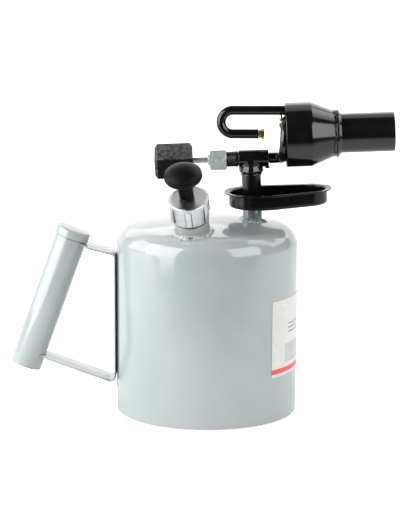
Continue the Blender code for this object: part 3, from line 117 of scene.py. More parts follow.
class Bench:
    """Blender's modelling operators, used as by hand."""

    @staticmethod
    def take(piece: Piece) -> None:
        """Selects one object alone and makes it active.

        Args:
            piece: the object.
        """
        bpy.ops.object.select_all(action="DESELECT")
        piece.select_set(True)
        bpy.context.view_layer.objects.active = piece

    @staticmethod
    def primitive(name: str, operator: Callable[..., object], **settings: float) -> Piece:
        """Adds one of Blender's primitives under a name.

        Args:
            name: the piece's name.
            operator: the operator that adds it.
            **settings: what the operator is told.

        Returns:
            The new object.
        """
        bpy.ops.object.select_all(action="DESELECT")
        operator(**settings)
        piece = bpy.context.object
        piece.name = name
        piece.data.name = name
        return piece

    @staticmethod
    def start(name: str, point: Sequence[float]) -> Piece:
        """Starts a piece in edit mode as one vertex.

        Args:
            name: the piece's name.
            point: where the vertex is.

        Returns:
            The new object, in edit mode with its vertex selected.
        """
        piece = Bench.primitive(name, bpy.ops.mesh.primitive_plane_add, size=0.01)
        bpy.ops.object.mode_set(mode="EDIT")
        bpy.ops.mesh.select_all(action="SELECT")
        bpy.ops.mesh.merge(type="CENTER")
        bpy.ops.transform.translate(value=tuple(point))
        return piece

    @staticmethod
    def draw(points: Sequence[Sequence[float]]) -> None:
        """Extrudes the selected vertex along a line of points.

        Args:
            points: the line, starting where the vertex is.
        """
        for before, after in zip(points, points[1:]):
            step = tuple(b - a for a, b in zip(before, after))
            bpy.ops.mesh.extrude_region_move(TRANSFORM_OT_translate={"value": step})

    @staticmethod
    def close_up(inside_out: bool = False) -> None:
        """Merges doubles and turns all faces outwards, in edit mode.

        Args:
            inside_out: turn them inwards instead.
        """
        bpy.ops.mesh.select_all(action="SELECT")
        bpy.ops.mesh.remove_doubles(threshold=MERGE_DISTANCE)
        bpy.ops.mesh.normals_make_consistent(inside=inside_out)

    @staticmethod
    def turned(name: str, profile: Profile, steps: int = TURN_STEPS) -> Piece:
        """Turns a piece about Z, as on a lathe.

        Args:
            name: the piece's name.
            profile: its (radius, height) points. Off the axis, its ends are joined.
            steps: facets round the axis.

        Returns:
            The piece, in object mode.
        """
        outline = [(radius, 0.0, height) for radius, height in profile]
        if profile[0][0] > 0:
            outline.append(outline[0])
        piece = Bench.start(name, outline[0])
        Bench.draw(outline)
        bpy.ops.mesh.select_all(action="SELECT")
        bpy.ops.mesh.spin(
            steps=steps, angle=tau, center=(0, 0, 0), axis=(0, 0, 1), dupli=False, use_auto_merge=True
        )
        Bench.close_up()
        bpy.ops.object.mode_set(mode="OBJECT")
        return piece

    @staticmethod
    def block(name: str, low: Sequence[float], high: Sequence[float]) -> Piece:
        """A box between two corners.

        Args:
            name: the piece's name.
            low: its lowest corner.
            high: its highest corner.

        Returns:
            The box.
        """
        piece = Bench.primitive(name, bpy.ops.mesh.primitive_cube_add, size=1)
        centre = [(a + b) / 2 for a, b in zip(low, high)]
        size = [b - a for a, b in zip(low, high)]
        piece.data.transform(Matrix.Translation(centre) @ Matrix.Diagonal((*size, 1)))
        return piece

    @staticmethod
    def prism(
        name: str, radius: float, sides: int, low: float, high: float, turn: float
    ) -> Piece:
        """A prism about Z.

        Args:
            name: the piece's name.
            radius: the radius of its corners.
            sides: how many sides.
            low: the height of its lower end.
            high: the height of its upper end.
            turn: the bearing of its first corner.

        Returns:
            The prism.
        """
        cylinder = bpy.ops.mesh.primitive_cylinder_add
        piece = Bench.primitive(name, cylinder, vertices=sides, radius=radius, depth=high - low)
        quarter = Matrix.Rotation(turn - pi / 2, 4, "Z")
        piece.data.transform(Matrix.Translation((0, 0, (low + high) / 2)) @ quarter)
        return piece

    @staticmethod
    def rod(name: str, radius: float, low: float, high: float, steps: int = DRILL_STEPS) -> Piece:
        """A plain round bar about Z, between two heights."""
        return Bench.turned(name, [(0, low), (radius, low), (radius, high), (0, high)], steps)

    @staticmethod
    def ball(name: str, radius: float) -> Piece:
        """A ball at the origin."""
        sphere = bpy.ops.mesh.primitive_uv_sphere_add
        return Bench.primitive(name, sphere, segments=32, ring_count=20, radius=radius)

    @staticmethod
    def piped(
        name: str, line: Sequence[Vector], radius: float, bore: float, sides: int = 32
    ) -> Piece:
        """A bent tube with an open bore.

        Args:
            name: the piece's name.
            line: its centre line.
            radius: its outer radius.
            bore: the radius of its bore.
            sides: facets round it.

        Returns:
            The tube.
        """
        curve = bpy.data.curves.new(name, "CURVE")
        curve.dimensions = "3D"
        curve.bevel_depth = radius
        curve.bevel_resolution = (sides - 4) // 2
        curve.use_fill_caps = False
        curve.twist_mode = "MINIMUM"
        spline = curve.splines.new("POLY")
        spline.points.add(len(line) - 1)
        for point, place in zip(spline.points, line):
            point.co = (*place, 1)
        piece = bpy.data.objects.new(name, curve)
        bpy.context.scene.collection.objects.link(piece)
        Bench.take(piece)
        bpy.ops.object.convert(target="MESH")
        piece = bpy.context.object
        bpy.ops.object.mode_set(mode="EDIT")
        Bench.close_up()
        bpy.ops.object.mode_set(mode="OBJECT")
        side = piece.data.polygons[0]
        nearest = min(line, key=lambda place: (place - side.center).length)
        if side.normal.dot(side.center - nearest) < 0:
            piece.data.flip_normals()
        wall = piece.modifiers.new("Wall", "SOLIDIFY")
        wall.thickness = radius - bore
        wall.offset = -1
        Bench.apply(piece)
        return piece

    @staticmethod
    def apply(piece: Piece) -> None:
        """Applies every modifier of a piece.

        Args:
            piece: the piece.
        """
        Bench.take(piece)
        for modifier in list(piece.modifiers):
            bpy.ops.object.modifier_apply(modifier=modifier.name)

    @staticmethod
    def combine(piece: Piece, other: Piece, operation: str) -> None:
        """Joins, cuts or intersects a piece with another, which is used up.

        Args:
            piece: the piece that stays.
            other: the piece or cutter.
            operation: the Boolean's operation.
        """
        modifier = piece.modifiers.new(operation, "BOOLEAN")
        modifier.operation = operation
        modifier.solver = "EXACT"
        modifier.object = other
        Bench.apply(piece)
        bpy.data.objects.remove(other, do_unlink=True)

    @staticmethod
    def round_edges(piece: Piece, width: float, segments: int = 3, angle: float = 30) -> None:
        """Rounds the sharp edges of a piece.

        Args:
            piece: the piece.
            width: the rounding's width.
            segments: facets across it.
            angle: edges sharper than this many degrees are rounded.
        """
        bevel = piece.modifiers.new("Rounding", "BEVEL")
        bevel.width = width
        bevel.segments = segments
        bevel.limit_method = "ANGLE"
        bevel.angle_limit = radians(angle)
        Bench.apply(piece)

    @staticmethod
    def reshape(piece: Piece, move: Callable[[Vector], Vector]) -> None:
        """Moves every vertex of a piece.

        Args:
            piece: the piece.
            move: gives a vertex's new place from its old one.
        """
        for vertex in piece.data.vertices:
            vertex.co = move(vertex.co.copy())
        piece.data.update()

    @staticmethod
    def set_down(piece: Piece, placement: Placement) -> Piece:
        """Puts a piece in its place, shades it smooth and leaves its object at the origin.

        Args:
            piece: the piece.
            placement: the frame that it was made in.

        Returns:
            The same piece.
        """
        piece.data.transform(placement.matrix())
        Bench.take(piece)
        bpy.ops.object.shade_smooth_by_angle(angle=SMOOTH_ANGLE, keep_sharp_edges=True)
        return piece


def polar(place: Vector) -> Point:
    """A place's distance from the Z axis, and its bearing."""
    return hypot(place.x, place.y), atan2(place.y, place.x)


def waves(turn: float, *parts: tuple[int, float, float]) -> float:
    """A sum of sine waves round a circle, each with its count, phase and size."""
    return sum(size * sin(count * turn + phase) for count, phase, size in parts)


def arc(centre: Sequence[float], radius: float, start: float, end: float, steps: int) -> list[Point]:
    """Points on an arc from one angle to another, in radians."""
    turns = [start + (end - start) * step / steps for step in range(steps + 1)]
    return [(centre[0] + radius * cos(turn), centre[1] + radius * sin(turn)) for turn in turns]


def softened(points: Sequence[Sequence[float]], radii: Sequence[float], steps: int = 5) -> list[Point]:
    """A line whose inner corners are rounded.

    Args:
        points: the line's corners.
        radii: the radius at each inner corner, nought for a sharp one.
        steps: facets round a corner.

    Returns:
        The rounded line.
    """
    line = [tuple(points[0])]
    for before, corner, after, radius in zip(points, points[1:], points[2:], radii):
        if radius <= 0:
            line.append(tuple(corner))
            continue
        middle = Vector(corner)
        back = (Vector(before) - middle).normalized()
        ahead = (Vector(after) - middle).normalized()
        half = back.angle(ahead) / 2
        reach = radius / tan(half)
        centre = middle + (back + ahead).normalized() * (radius / sin(half))
        start = middle + back * reach - centre
        end = middle + ahead * reach - centre
        line += [tuple(centre + start.slerp(end, step / steps) * radius) for step in range(steps + 1)]
    line.append(tuple(points[-1]))
    return line


def curve_between(start: Vector, leave: Vector, arrive: Vector, end: Vector, steps: int) -> list[Vector]:
    """Points of a cubic curve, without its last one.

    Args:
        start: its first point.
        leave: the handle after it.
        arrive: the handle before the end.
        end: its last point.
        steps: how many steps lie between.

    Returns:
        The points.
    """
    line = []
    for step in range(steps):
        ahead = step / steps
        back = 1 - ahead
        line.append(
            start * back**3 + leave * 3 * back**2 * ahead + arrive * 3 * back * ahead**2 + end * ahead**3
        )
    return line


class Shader:
    """A material's node tree, made a node at a time."""

    def __init__(self, name: str) -> None:
        """Starts a material.

        Args:
            name: the material's name.
        """
        self.material = bpy.data.materials.new(name)
        self.material.use_nodes = True
        self.tree = self.material.node_tree
        self.surface = self.tree.nodes["Principled BSDF"]

    def add(self, kind: str, **settings: object) -> bpy.types.Node:
        """Adds a node.

        Args:
            kind: the node's type.
            **settings: properties of the node, or sockets by name with underscores for spaces.

        Returns:
            The node.
        """
        node = self.tree.nodes.new(kind)
        for key, value in settings.items():
            if hasattr(node, key):
                setattr(node, key, value)
            else:
                node.inputs[key.replace("_", " ")].default_value = value
        return node

    def link(self, source: Socket, target: Socket) -> None:
        """Joins two sockets."""
        self.tree.links.new(source, target)

    def give(self, source: Socket, name: str) -> None:
        """Joins a socket to one of the surface's, by name."""
        self.link(source, self.surface.inputs[name])

    def given(self, name: str) -> Socket:
        """The socket that feeds one of the surface's so far."""
        return self.surface.inputs[name].links[0].from_socket

    def paint_over(self, share: Socket, colour: object) -> None:
        """Lays a colour over the surface's own, as much of it as a share says."""
        self.give(self.blend(share, self.given("Base Color"), colour), "Base Color")

    def axes(self, placement: Placement) -> tuple[Socket, ...]:
        """Object coordinates, split up.

        Args:
            placement: the frame that they are given in.

        Returns:
            The vector's socket, and those of its X, Y and Z.
        """
        place = self.place(placement)
        parts = self.add("ShaderNodeSeparateXYZ")
        self.link(place, parts.inputs["Vector"])
        return place, parts.outputs["X"], parts.outputs["Y"], parts.outputs["Z"]

    def place(self, placement: Placement) -> Socket:
        """Object coordinates, turned into a sub-assembly's own frame.

        Args:
            placement: the frame.

        Returns:
            The vector's socket.
        """
        coordinates = self.add("ShaderNodeTexCoord").outputs["Object"]
        if placement == HERE:
            return coordinates
        inverse = placement.matrix().inverted()
        mapping = self.add("ShaderNodeMapping")
        mapping.inputs["Location"].default_value = inverse.to_translation()
        mapping.inputs["Rotation"].default_value = inverse.to_euler()
        self.link(coordinates, mapping.inputs["Vector"])
        return mapping.outputs["Vector"]

    def noise(self, vector: Socket, scale: float, detail: float = 3.0) -> Socket:
        """A noise value.

        Args:
            vector: where it is read.
            scale: its scale, per metre.
            detail: its octaves.

        Returns:
            The value's socket.
        """
        node = self.add("ShaderNodeTexNoise", Scale=scale, Detail=detail)
        self.link(vector, node.inputs["Vector"])
        return node.outputs["Fac"]

    def ramp(
        self, value: Socket, low: float, high: float, first: float = 0.0, last: float = 1.0
    ) -> Socket:
        """A value spread from one range to another, held at its ends.

        Args:
            value: the value's socket.
            low: the value that gives first.
            high: the value that gives last.
            first: the new range's start.
            last: the new range's end.

        Returns:
            The new value's socket.
        """
        node = self.add("ShaderNodeMapRange", From_Min=low, From_Max=high, To_Min=first, To_Max=last)
        self.link(value, node.inputs["Value"])
        return node.outputs["Result"]

    def fall(self, value: Socket, low: float, high: float) -> Socket:
        """One up to a low value, and nought from a high one."""
        return self.ramp(value, low, high, 1.0, 0.0)

    def patches(
        self, vector: Socket, scale: float, low: float = NOISE_LOW, high: float = NOISE_HIGH
    ) -> Socket:
        """Patches of noise: nought up to a low value of it, and one from a high one."""
        return self.ramp(self.noise(vector, scale), low, high)

    def product(self, *values: object) -> Socket:
        """The product of sockets and numbers."""
        return reduce(lambda first, second: self.maths("MULTIPLY", first, second), values)

    def maths(self, operation: str, first: object, second: object = 0.0) -> Socket:
        """A sum on two values.

        Args:
            operation: the Math node's operation.
            first: a socket or a number.
            second: a socket or a number.

        Returns:
            The result's socket.
        """
        node = self.add("ShaderNodeMath", operation=operation)
        for socket, value in zip(node.inputs, (first, second)):
            if isinstance(value, Socket):
                self.link(value, socket)
            else:
                socket.default_value = value
        return node.outputs["Value"]

    def blend(self, share: Socket, first: object, second: object) -> Socket:
        """A mix of two colours.

        Args:
            share: how much of the second one.
            first: a socket or a colour.
            second: a socket or a colour.

        Returns:
            The colour's socket.
        """
        node = self.add("ShaderNodeMix", data_type="RGBA")
        self.link(share, node.inputs[0])
        for socket, value in ((node.inputs[6], first), (node.inputs[7], second)):
            if isinstance(value, Socket):
                self.link(value, socket)
            else:
                socket.default_value = (*value, 1)
        return node.outputs[2]

    def dent(
        self, height: Socket, depth: float, under: Optional[Socket] = None
    ) -> Socket:
        """A bump.

        Args:
            height: the height's socket, from 0 to 1.
            depth: the bump's depth, in metres.
            under: the normal that it is laid on.

        Returns:
            The normal's socket.
        """
        node = self.add("ShaderNodeBump", Distance=depth, Strength=1.0)
        self.link(height, node.inputs["Height"])
        if under:
            self.link(under, node.inputs["Normal"])
        return node.outputs["Normal"]


@dataclass(frozen=True)
class Finish:
    """A finish with a mottled colour, an uneven gloss and two sizes of bump."""

    colour: Colour
    mottle: Colour
    mottle_scale: float = 60.0
    mottle_low: float = 0.4
    mottle_high: float = 0.65
    roughness: float = 0.3
    roughness_spread: float = 0.05
    roughness_scale: float = 120.0
    metallic: float = 0.0
    specular: float = 0.5
    fine: Optional[Point] = None
    broad: Optional[Point] = None
    specks: float = 0.0
    speck_colour: Colour = (0.2, 0.2, 0.19)
    speck_scale: float = 260.0
    speck_size: float = 0.16
    wear: Optional[Colour] = None
    wear_scale: float = 350.0
    wear_low: float = 0.53
    wear_high: float = 0.60
    coat: float = 0.0
    coat_roughness: float = 0.06
    coat_ior: float = 1.5

    def shader(self, name: str, placement: Placement = HERE) -> Shader:
        """Makes the finish's material.

        Args:
            name: the material's name.
            placement: the frame whose coordinates the patterns follow.

        Returns:
            The shader, for more to be added.
        """
        shader = Shader(name)
        plain = {
            "Metallic": self.metallic,
            "Specular IOR Level": self.specular,
            "Coat Weight": self.coat,
            "Coat Roughness": self.coat_roughness,
            "Coat IOR": self.coat_ior,
        }
        for socket, value in plain.items():
            shader.surface.inputs[socket].default_value = value
        place = shader.place(placement)
        cloud = shader.noise(place, self.mottle_scale, 4.0)
        share = shader.ramp(cloud, self.mottle_low, self.mottle_high)
        shader.give(shader.blend(share, self.colour, self.mottle), "Base Color")
        if self.specks > 0:
            cells = shader.add("ShaderNodeTexVoronoi", Scale=self.speck_scale)
            shader.link(place, cells.inputs["Vector"])
            dot = shader.fall(cells.outputs["Distance"], 0.0, self.speck_size)
            shown = shader.ramp(cells.outputs["Color"], 1 - self.specks, 1 - self.specks + 0.01)
            shader.paint_over(shader.product(dot, shown), self.speck_colour)
        if self.wear:
            pointiness = shader.add("ShaderNodeNewGeometry").outputs["Pointiness"]
            edge = shader.ramp(pointiness, self.wear_low, self.wear_high)
            patches = shader.patches(place, self.wear_scale, 0.35, 0.6)
            shader.paint_over(shader.product(edge, patches), self.wear)
        smoothest, roughest = self.roughness - self.roughness_spread, self.roughness + self.roughness_spread
        cloud = shader.noise(place, self.roughness_scale)
        shader.give(shader.ramp(cloud, NOISE_LOW, NOISE_HIGH, smoothest, roughest), "Roughness")
        normal = None
        for bump, detail in ((self.broad, 1.0), (self.fine, 2.0)):
            if bump:
                scale, depth = bump
                normal = shader.dent(shader.noise(place, scale, detail), depth, normal)
        if normal:
            shader.give(normal, "Normal")
        return shader


class Palette:
    """The lamp's finishes."""

    TANK_PAINT = Finish(
        colour=(0.416, 0.460, 0.462), mottle=(0.392, 0.436, 0.438), mottle_scale=35.0, roughness=0.4,
        roughness_spread=0.05, fine=(460.0, 0.00006), broad=(70.0, 0.00006), specks=0.02,
        speck_colour=(0.36, 0.39, 0.39), speck_scale=420.0, specular=0.15, coat=1.0, coat_roughness=0.09,
        coat_ior=1.62,
    )
    # Painted shade: the neck's paint is darker than the tank's, standing in for the shade on the neck below
    # the cap, and the bush's darker still, for the tray's shadow on it.
    SHADED_NECK_PAINT = replace(TANK_PAINT, colour=(0.300, 0.340, 0.330), mottle=(0.270, 0.308, 0.300))
    SHADED_BUSH_PAINT = replace(TANK_PAINT, colour=(0.235, 0.285, 0.300), mottle=(0.19, 0.235, 0.25))
    LABEL_FILM = Finish(
        colour=(0.73, 0.72, 0.70), mottle=(0.70, 0.69, 0.67), mottle_scale=45.0, roughness=0.3,
        roughness_spread=0.05, broad=(60.0, 0.00005),
    )
    ENAMEL = Finish(
        colour=(0.0035, 0.0035, 0.004), mottle=(0.006, 0.006, 0.0065), mottle_scale=90.0, roughness=0.15,
        roughness_spread=0.03, fine=(1100.0, 0.000008), broad=(120.0, 0.00003), specks=0.05,
        speck_colour=(0.16, 0.155, 0.14), speck_scale=330.0, specular=0.62,
    )
    SATIN_ENAMEL = Finish(
        colour=(0.006, 0.006, 0.0065), mottle=(0.011, 0.011, 0.0115), mottle_scale=140.0, roughness=0.28,
        roughness_spread=0.07, fine=(900.0, 0.00003), broad=(160.0, 0.00005), specks=0.06,
        speck_colour=(0.14, 0.135, 0.12), specular=0.4,
    )
    TRAY_ENAMEL = Finish(
        colour=(0.004, 0.004, 0.0045), mottle=(0.007, 0.007, 0.0075), mottle_scale=80.0, roughness=0.12,
        roughness_spread=0.03, fine=(900.0, 0.000012), broad=(110.0, 0.00006), specks=0.05,
        speck_colour=(0.16, 0.155, 0.14), specular=0.28,
    )
    WELD_ENAMEL = Finish(
        colour=(0.006, 0.006, 0.0065), mottle=(0.030, 0.022, 0.016), mottle_scale=260.0, mottle_low=0.55,
        mottle_high=0.72, roughness=0.10, roughness_spread=0.04, fine=(700.0, 0.00003),
        broad=(260.0, 0.00009), specular=0.7,
    )
    COIL_ENAMEL = Finish(
        colour=(0.006, 0.006, 0.0065), mottle=(0.013, 0.012, 0.011), mottle_scale=200.0, roughness=0.14,
        roughness_spread=0.06, fine=(800.0, 0.00003), broad=(220.0, 0.0002), specular=0.7,
    )
    BRAZE = Finish(
        colour=(0.86, 0.66, 0.28), mottle=(0.55, 0.33, 0.10), mottle_scale=900.0, roughness=0.2,
        roughness_spread=0.08, metallic=1.0, fine=(1600.0, 0.00008),
    )
    SPINDLE_STEEL = Finish(
        colour=(0.84, 0.88, 0.89), mottle=(0.68, 0.73, 0.75), mottle_scale=420.0, roughness=0.28,
        roughness_spread=0.07, metallic=0.8, fine=(1600.0, 0.00001),
    )
    ZINC = Finish(
        colour=(0.88, 0.94, 0.96), mottle=(0.58, 0.67, 0.68), mottle_scale=620.0, mottle_low=0.38,
        roughness=0.42, roughness_spread=0.1, roughness_scale=500.0, metallic=0.85,
        fine=(1800.0, 0.00002), broad=(400.0, 0.00003),
    )
    ALLOY = Finish(
        colour=(0.70, 0.71, 0.74), mottle=(0.62, 0.63, 0.66), mottle_scale=300.0, roughness=0.33,
        roughness_spread=0.05, roughness_scale=400.0, metallic=1.0, fine=(1500.0, 0.00001),
        broad=(160.0, 0.000015),
    )
    BRASS = Finish(
        colour=(0.78, 0.50, 0.16), mottle=(0.62, 0.36, 0.10), mottle_scale=500.0, roughness=0.26,
        roughness_spread=0.08, metallic=1.0, fine=(2000.0, 0.00001),
    )
    KNOB_BLACK = Finish(
        colour=(0.003, 0.003, 0.0032), mottle=(0.020, 0.020, 0.0205), mottle_scale=900.0, mottle_low=0.46,
        mottle_high=0.62, roughness=0.5, roughness_spread=0.15, fine=(1600.0, 0.00022),
        broad=(420.0, 0.0005), wear=(0.10, 0.097, 0.094), wear_low=0.525, wear_high=0.58, specular=0.30,
    )
    PUMP_PLASTIC = Finish(
        colour=(0.0034, 0.0032, 0.0030), mottle=(0.0056, 0.0053, 0.0049), mottle_scale=150.0,
        roughness=0.42, roughness_spread=0.05, fine=(2600.0, 0.00004), wear=(0.030, 0.021, 0.016),
        wear_low=0.522, wear_high=0.58, specular=0.12,
    )
    STEEL = Finish(
        colour=(0.45, 0.45, 0.46), mottle=(0.36, 0.36, 0.37), mottle_scale=260.0, roughness=0.3,
        roughness_spread=0.06, metallic=1.0, fine=(1800.0, 0.00001),
    )
    RUBBER = Finish(
        colour=(0.018, 0.018, 0.018), mottle=(0.028, 0.027, 0.026), mottle_scale=400.0, roughness=0.75,
        fine=(2500.0, 0.00004),
    )
    LEATHER = Finish(
        colour=(0.20, 0.11, 0.055), mottle=(0.13, 0.07, 0.035), mottle_scale=350.0, roughness=0.6,
        fine=(1500.0, 0.00008),
    )
    GRAPHITE = Finish(
        colour=(0.05, 0.05, 0.054), mottle=(0.09, 0.09, 0.095), mottle_scale=700.0, roughness=0.5,
        fine=(1800.0, 0.00006),
    )


class Tint:
    """Colours that are laid over a finish."""

    # Painted shade: black for the shadowed gap between the handle's web and the tank.
    PAINTED_GAP_SHADE = (0.004, 0.004, 0.004)
    SCUFF = (0.26, 0.28, 0.285)
    DIRT = (0.30, 0.22, 0.10)
    PAINTED_RIM_SHADE = (0.07, 0.08, 0.08)
    BURNT_WELD = (0.15, 0.115, 0.080)
    BURNT_ENAMEL = (0.055, 0.032, 0.016)
    PANEL_DARK = (0.50, 0.51, 0.50)
    PANEL_PALE = (0.62, 0.62, 0.60)
    RULE = (0.10, 0.10, 0.105)
    BAND = (0.86, 0.085, 0.045)
    MACHINED_DARK = (0.40, 0.405, 0.41)
    MACHINED_PALE = (0.52, 0.525, 0.53)
    RIB_SHADE = (0.16, 0.16, 0.17)
    PAINTED_LIGHT_ZINC = (0.86, 0.92, 0.93)
    PAINTED_HIGHLIGHT_ZINC = (0.98, 1.0, 1.0)
    SHADED_CASTING_DARK = (0.0045, 0.0045, 0.0046)
    SHADED_CASTING_PALE = (0.017, 0.0165, 0.016)
    CASTING_WORN = (0.11, 0.107, 0.102)
    SHEET_WHITE = (0.80, 0.80, 0.80)
    SHEET_DARK = (0.02, 0.02, 0.02)


def clad(piece: Piece, material: bpy.types.Material) -> None:
    """Gives a piece its one material."""
    piece.data.materials.clear()
    piece.data.materials.append(material)


def settle(piece: Piece, finish: Finish | Shader, body: Body, placement: Placement) -> None:
    """Sets a finished piece in its place and on its body.

    Args:
        piece: the piece, as made in its own frame.
        finish: its finish, or a shader made for it.
        body: the body that it rides on.
        placement: its own frame.
    """
    Bench.set_down(piece, placement)
    shader = finish if isinstance(finish, Shader) else finish.shader(f"{piece.name}_finish", placement)
    clad(piece, shader.material)
    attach(piece, body.value)
    LOG.info("%s rides on %s", piece.name, body.value)


def fit(
    piece: Piece, finish: Finish | Shader, body: Body, node: str, placement: Placement = HERE
) -> None:
    """Settles a piece that stands for a CAD node, and hides that node.

    Args:
        piece: the piece, as made in its own frame.
        finish: its finish, or a shader made for it.
        body: the body that it rides on.
        node: the CAD node.
        placement: its own frame.
    """
    settle(piece, finish, body, placement)
    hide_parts(node)


def add_to(
    piece: Piece, finish: Finish | Shader, body: Body, placement: Placement = HERE
) -> None:
    """Settles a detail that stands for no CAD node."""
    settle(piece, finish, body, placement)


@dataclass
class Tank:
    """The tank: its shell, base plate and label."""

    radius: float = 0.065
    wall: float = 0.0012
    shoulder_height: float = 0.1225
    shoulder_radius: float = 0.014
    crown_radius: float = 0.300
    crown_steps: int = 20
    shoulder_steps: int = 14
    shell_steps: int = 192
    reach_rounds: int = 16
    skirt_lift: float = 0.001
    skirt_rounding: float = 0.0004
    flange_height: float = 0.010
    base_corner: float = 0.003
    base_corner_steps: int = 6
    hole_depth: float = 0.02
    hole_height: float = 0.01
    bore_rounding: float = 0.0002
    web_half: float = 0.0112
    web_foot: float = 0.0175
    web_top: float = 0.1150
    web_softness: float = 0.001
    label_foot: float = 0.0335
    label_height: float = 0.055
    label_angle: float = radians(45)
    label_lift: float = 0.0001
    label_thickness: float = 0.00025
    label_steps: int = 48
    band: Point = (0.0022, 0.0057)
    panel: Point = (0.0085, 0.0225)
    panel_half: float = 0.034
    panel_scale: float = 70.0
    rules: tuple[float, ...] = (0.0300, 0.0330, 0.0360)
    rule_width: float = 0.0008
    rule_half: float = 0.030
    print_softness: float = 0.00015

    @property
    def across(self) -> float:
        """Distance from the axis to the centre of the shoulder's arc."""
        return self.radius - self.shoulder_radius

    @property
    def crown_centre(self) -> float:
        """Height of the centre of the crown's sphere."""
        reach = self.crown_radius - self.shoulder_radius
        return self.shoulder_height - sqrt(reach**2 - self.across**2)

    def crown_height(self, distance: float) -> float:
        """Height of the tank's top at a distance from its axis.

        Args:
            distance: the distance.

        Returns:
            The height.
        """
        if distance * (self.crown_radius - self.shoulder_radius) < self.crown_radius * self.across:
            return self.crown_centre + sqrt(self.crown_radius**2 - distance**2)
        return self.shoulder_height + sqrt(self.shoulder_radius**2 - (distance - self.across) ** 2)

    def reach(self, placement: Placement, x: float, y: float) -> float:
        """Height, in a frame on the crown, of the crown beside the frame's axis.

        Args:
            placement: the frame.
            x: place along the frame's X.
            y: place along the frame's Y.

        Returns:
            The height along the frame's Z.
        """
        matrix = placement.matrix()
        up = matrix.to_3x3() @ Vector((0, 0, 1))
        foot = matrix @ Vector((x, y, 0))
        height = 0.0
        for _ in range(self.reach_rounds):
            place = foot + height * up
            height += (self.crown_height(hypot(place.x, place.y)) - place.z) / up.z
        return height

    def outline(self, inset: float, foot: float) -> list[Point]:
        """The tank's outline from its top to its foot.

        Args:
            inset: how far inside the outer surface it runs.
            foot: the height it ends at.

        Returns:
            The (radius, height) points.
        """
        meeting = atan2(self.shoulder_height - self.crown_centre, self.across)
        centre = (0, self.crown_centre)
        crown = arc(centre, self.crown_radius - inset, pi / 2, meeting, self.crown_steps)
        centre = (self.across, self.shoulder_height)
        shoulder = arc(centre, self.shoulder_radius - inset, meeting, 0, self.shoulder_steps)
        line = crown[:-1] + shoulder
        line[0] = (0, line[0][1])
        return line + [(self.radius - inset, foot)]

    def build(self, holes: Iterable[tuple[Placement, float]]) -> None:
        """Makes the shell, the base plate and the label.

        Args:
            holes: the frame and radius of each hole in the crown.
        """
        outside = self.outline(0, self.skirt_lift + self.skirt_rounding)
        outside.append((self.radius - self.skirt_rounding, self.skirt_lift))
        inside = self.outline(self.wall, self.skirt_lift)[::-1]
        shell = Bench.turned("shell", outside + inside, self.shell_steps)
        for placement, radius in holes:
            drill = Bench.rod("drill", radius, -self.hole_depth, self.hole_height)
            drill.data.transform(placement.matrix())
            Bench.combine(shell, drill, "DIFFERENCE")
        fit(shell, self.shell_finish(), Body.LAMP, "tank_shell")

        radius = self.radius - self.wall - GAP
        corner = (radius - self.base_corner, self.base_corner)
        steps = self.base_corner_steps
        profile = [(0, 0)] + arc(corner, self.base_corner, -pi / 2, 0, steps)
        profile += [(radius, self.flange_height), (radius - self.wall, self.flange_height)]
        profile += arc(corner, self.base_corner - self.wall, 0, -pi / 2, steps) + [(0, self.wall)]
        fit(Bench.turned("base_plate", profile), Palette.TANK_PAINT, Body.LAMP, "tank_base")
        self.build_label()

    def stub(
        self,
        name: str,
        placement: Placement,
        bore: float,
        radius: float,
        height: float,
        rounding: float,
        steps: int = TURN_STEPS,
    ) -> Piece:
        """A pipe that stands on the crown, its foot cut to it.

        Args:
            name: its name.
            placement: its frame, with Z up its axis.
            bore: its bore's radius.
            radius: its own radius.
            height: its height above the frame's origin.
            rounding: the rounding of its upper edge.
            steps: facets round it.

        Returns:
            The pipe, in its frame.
        """
        low = -self.hole_depth
        corners = [(bore, low), (bore, height), (radius, height), (radius, low), (bore, low)]
        profile = softened(corners, [self.bore_rounding, rounding, 0])
        pipe = Bench.turned(name, profile[:-1], steps)

        def seat(place: Vector) -> Vector:
            """Lays a vertex of the pipe's foot on the crown.

            Args:
                place: the vertex's place.

            Returns:
                Its new place.
            """
            if place.z < low / 2:
                place.z = self.reach(placement, place.x, place.y) + GAP
            return place

        Bench.reshape(pipe, seat)
        return pipe

    def shell_finish(self) -> Shader:
        """The tank's paint, with painted shade under the handle's web: black there, without coat, for the
        shadow in the gap between the web and the tank.
        """
        shader = Palette.TANK_PAINT.shader("tank_shell_paint")
        _, x, y, z = shader.axes(HERE)
        # Painted shade: the tank under the handle's web is painted black, with its coat taken off, for the
        # shadow in the gap behind the web.
        gap_shade = shader.product(
            shader.fall(shader.maths("ABSOLUTE", y), self.web_half - 0.0001, self.web_half + 0.0003),
            shader.fall(x, -self.radius * 0.9, -self.radius * 0.88),
            shader.ramp(z, self.web_foot, self.web_foot + self.web_softness),
            shader.fall(z, self.web_top - self.web_softness, self.web_top),
        )
        shader.paint_over(gap_shade, Tint.PAINTED_GAP_SHADE)
        shader.give(shader.maths("SUBTRACT", 1.0, gap_shade), "Coat Weight")
        return shader

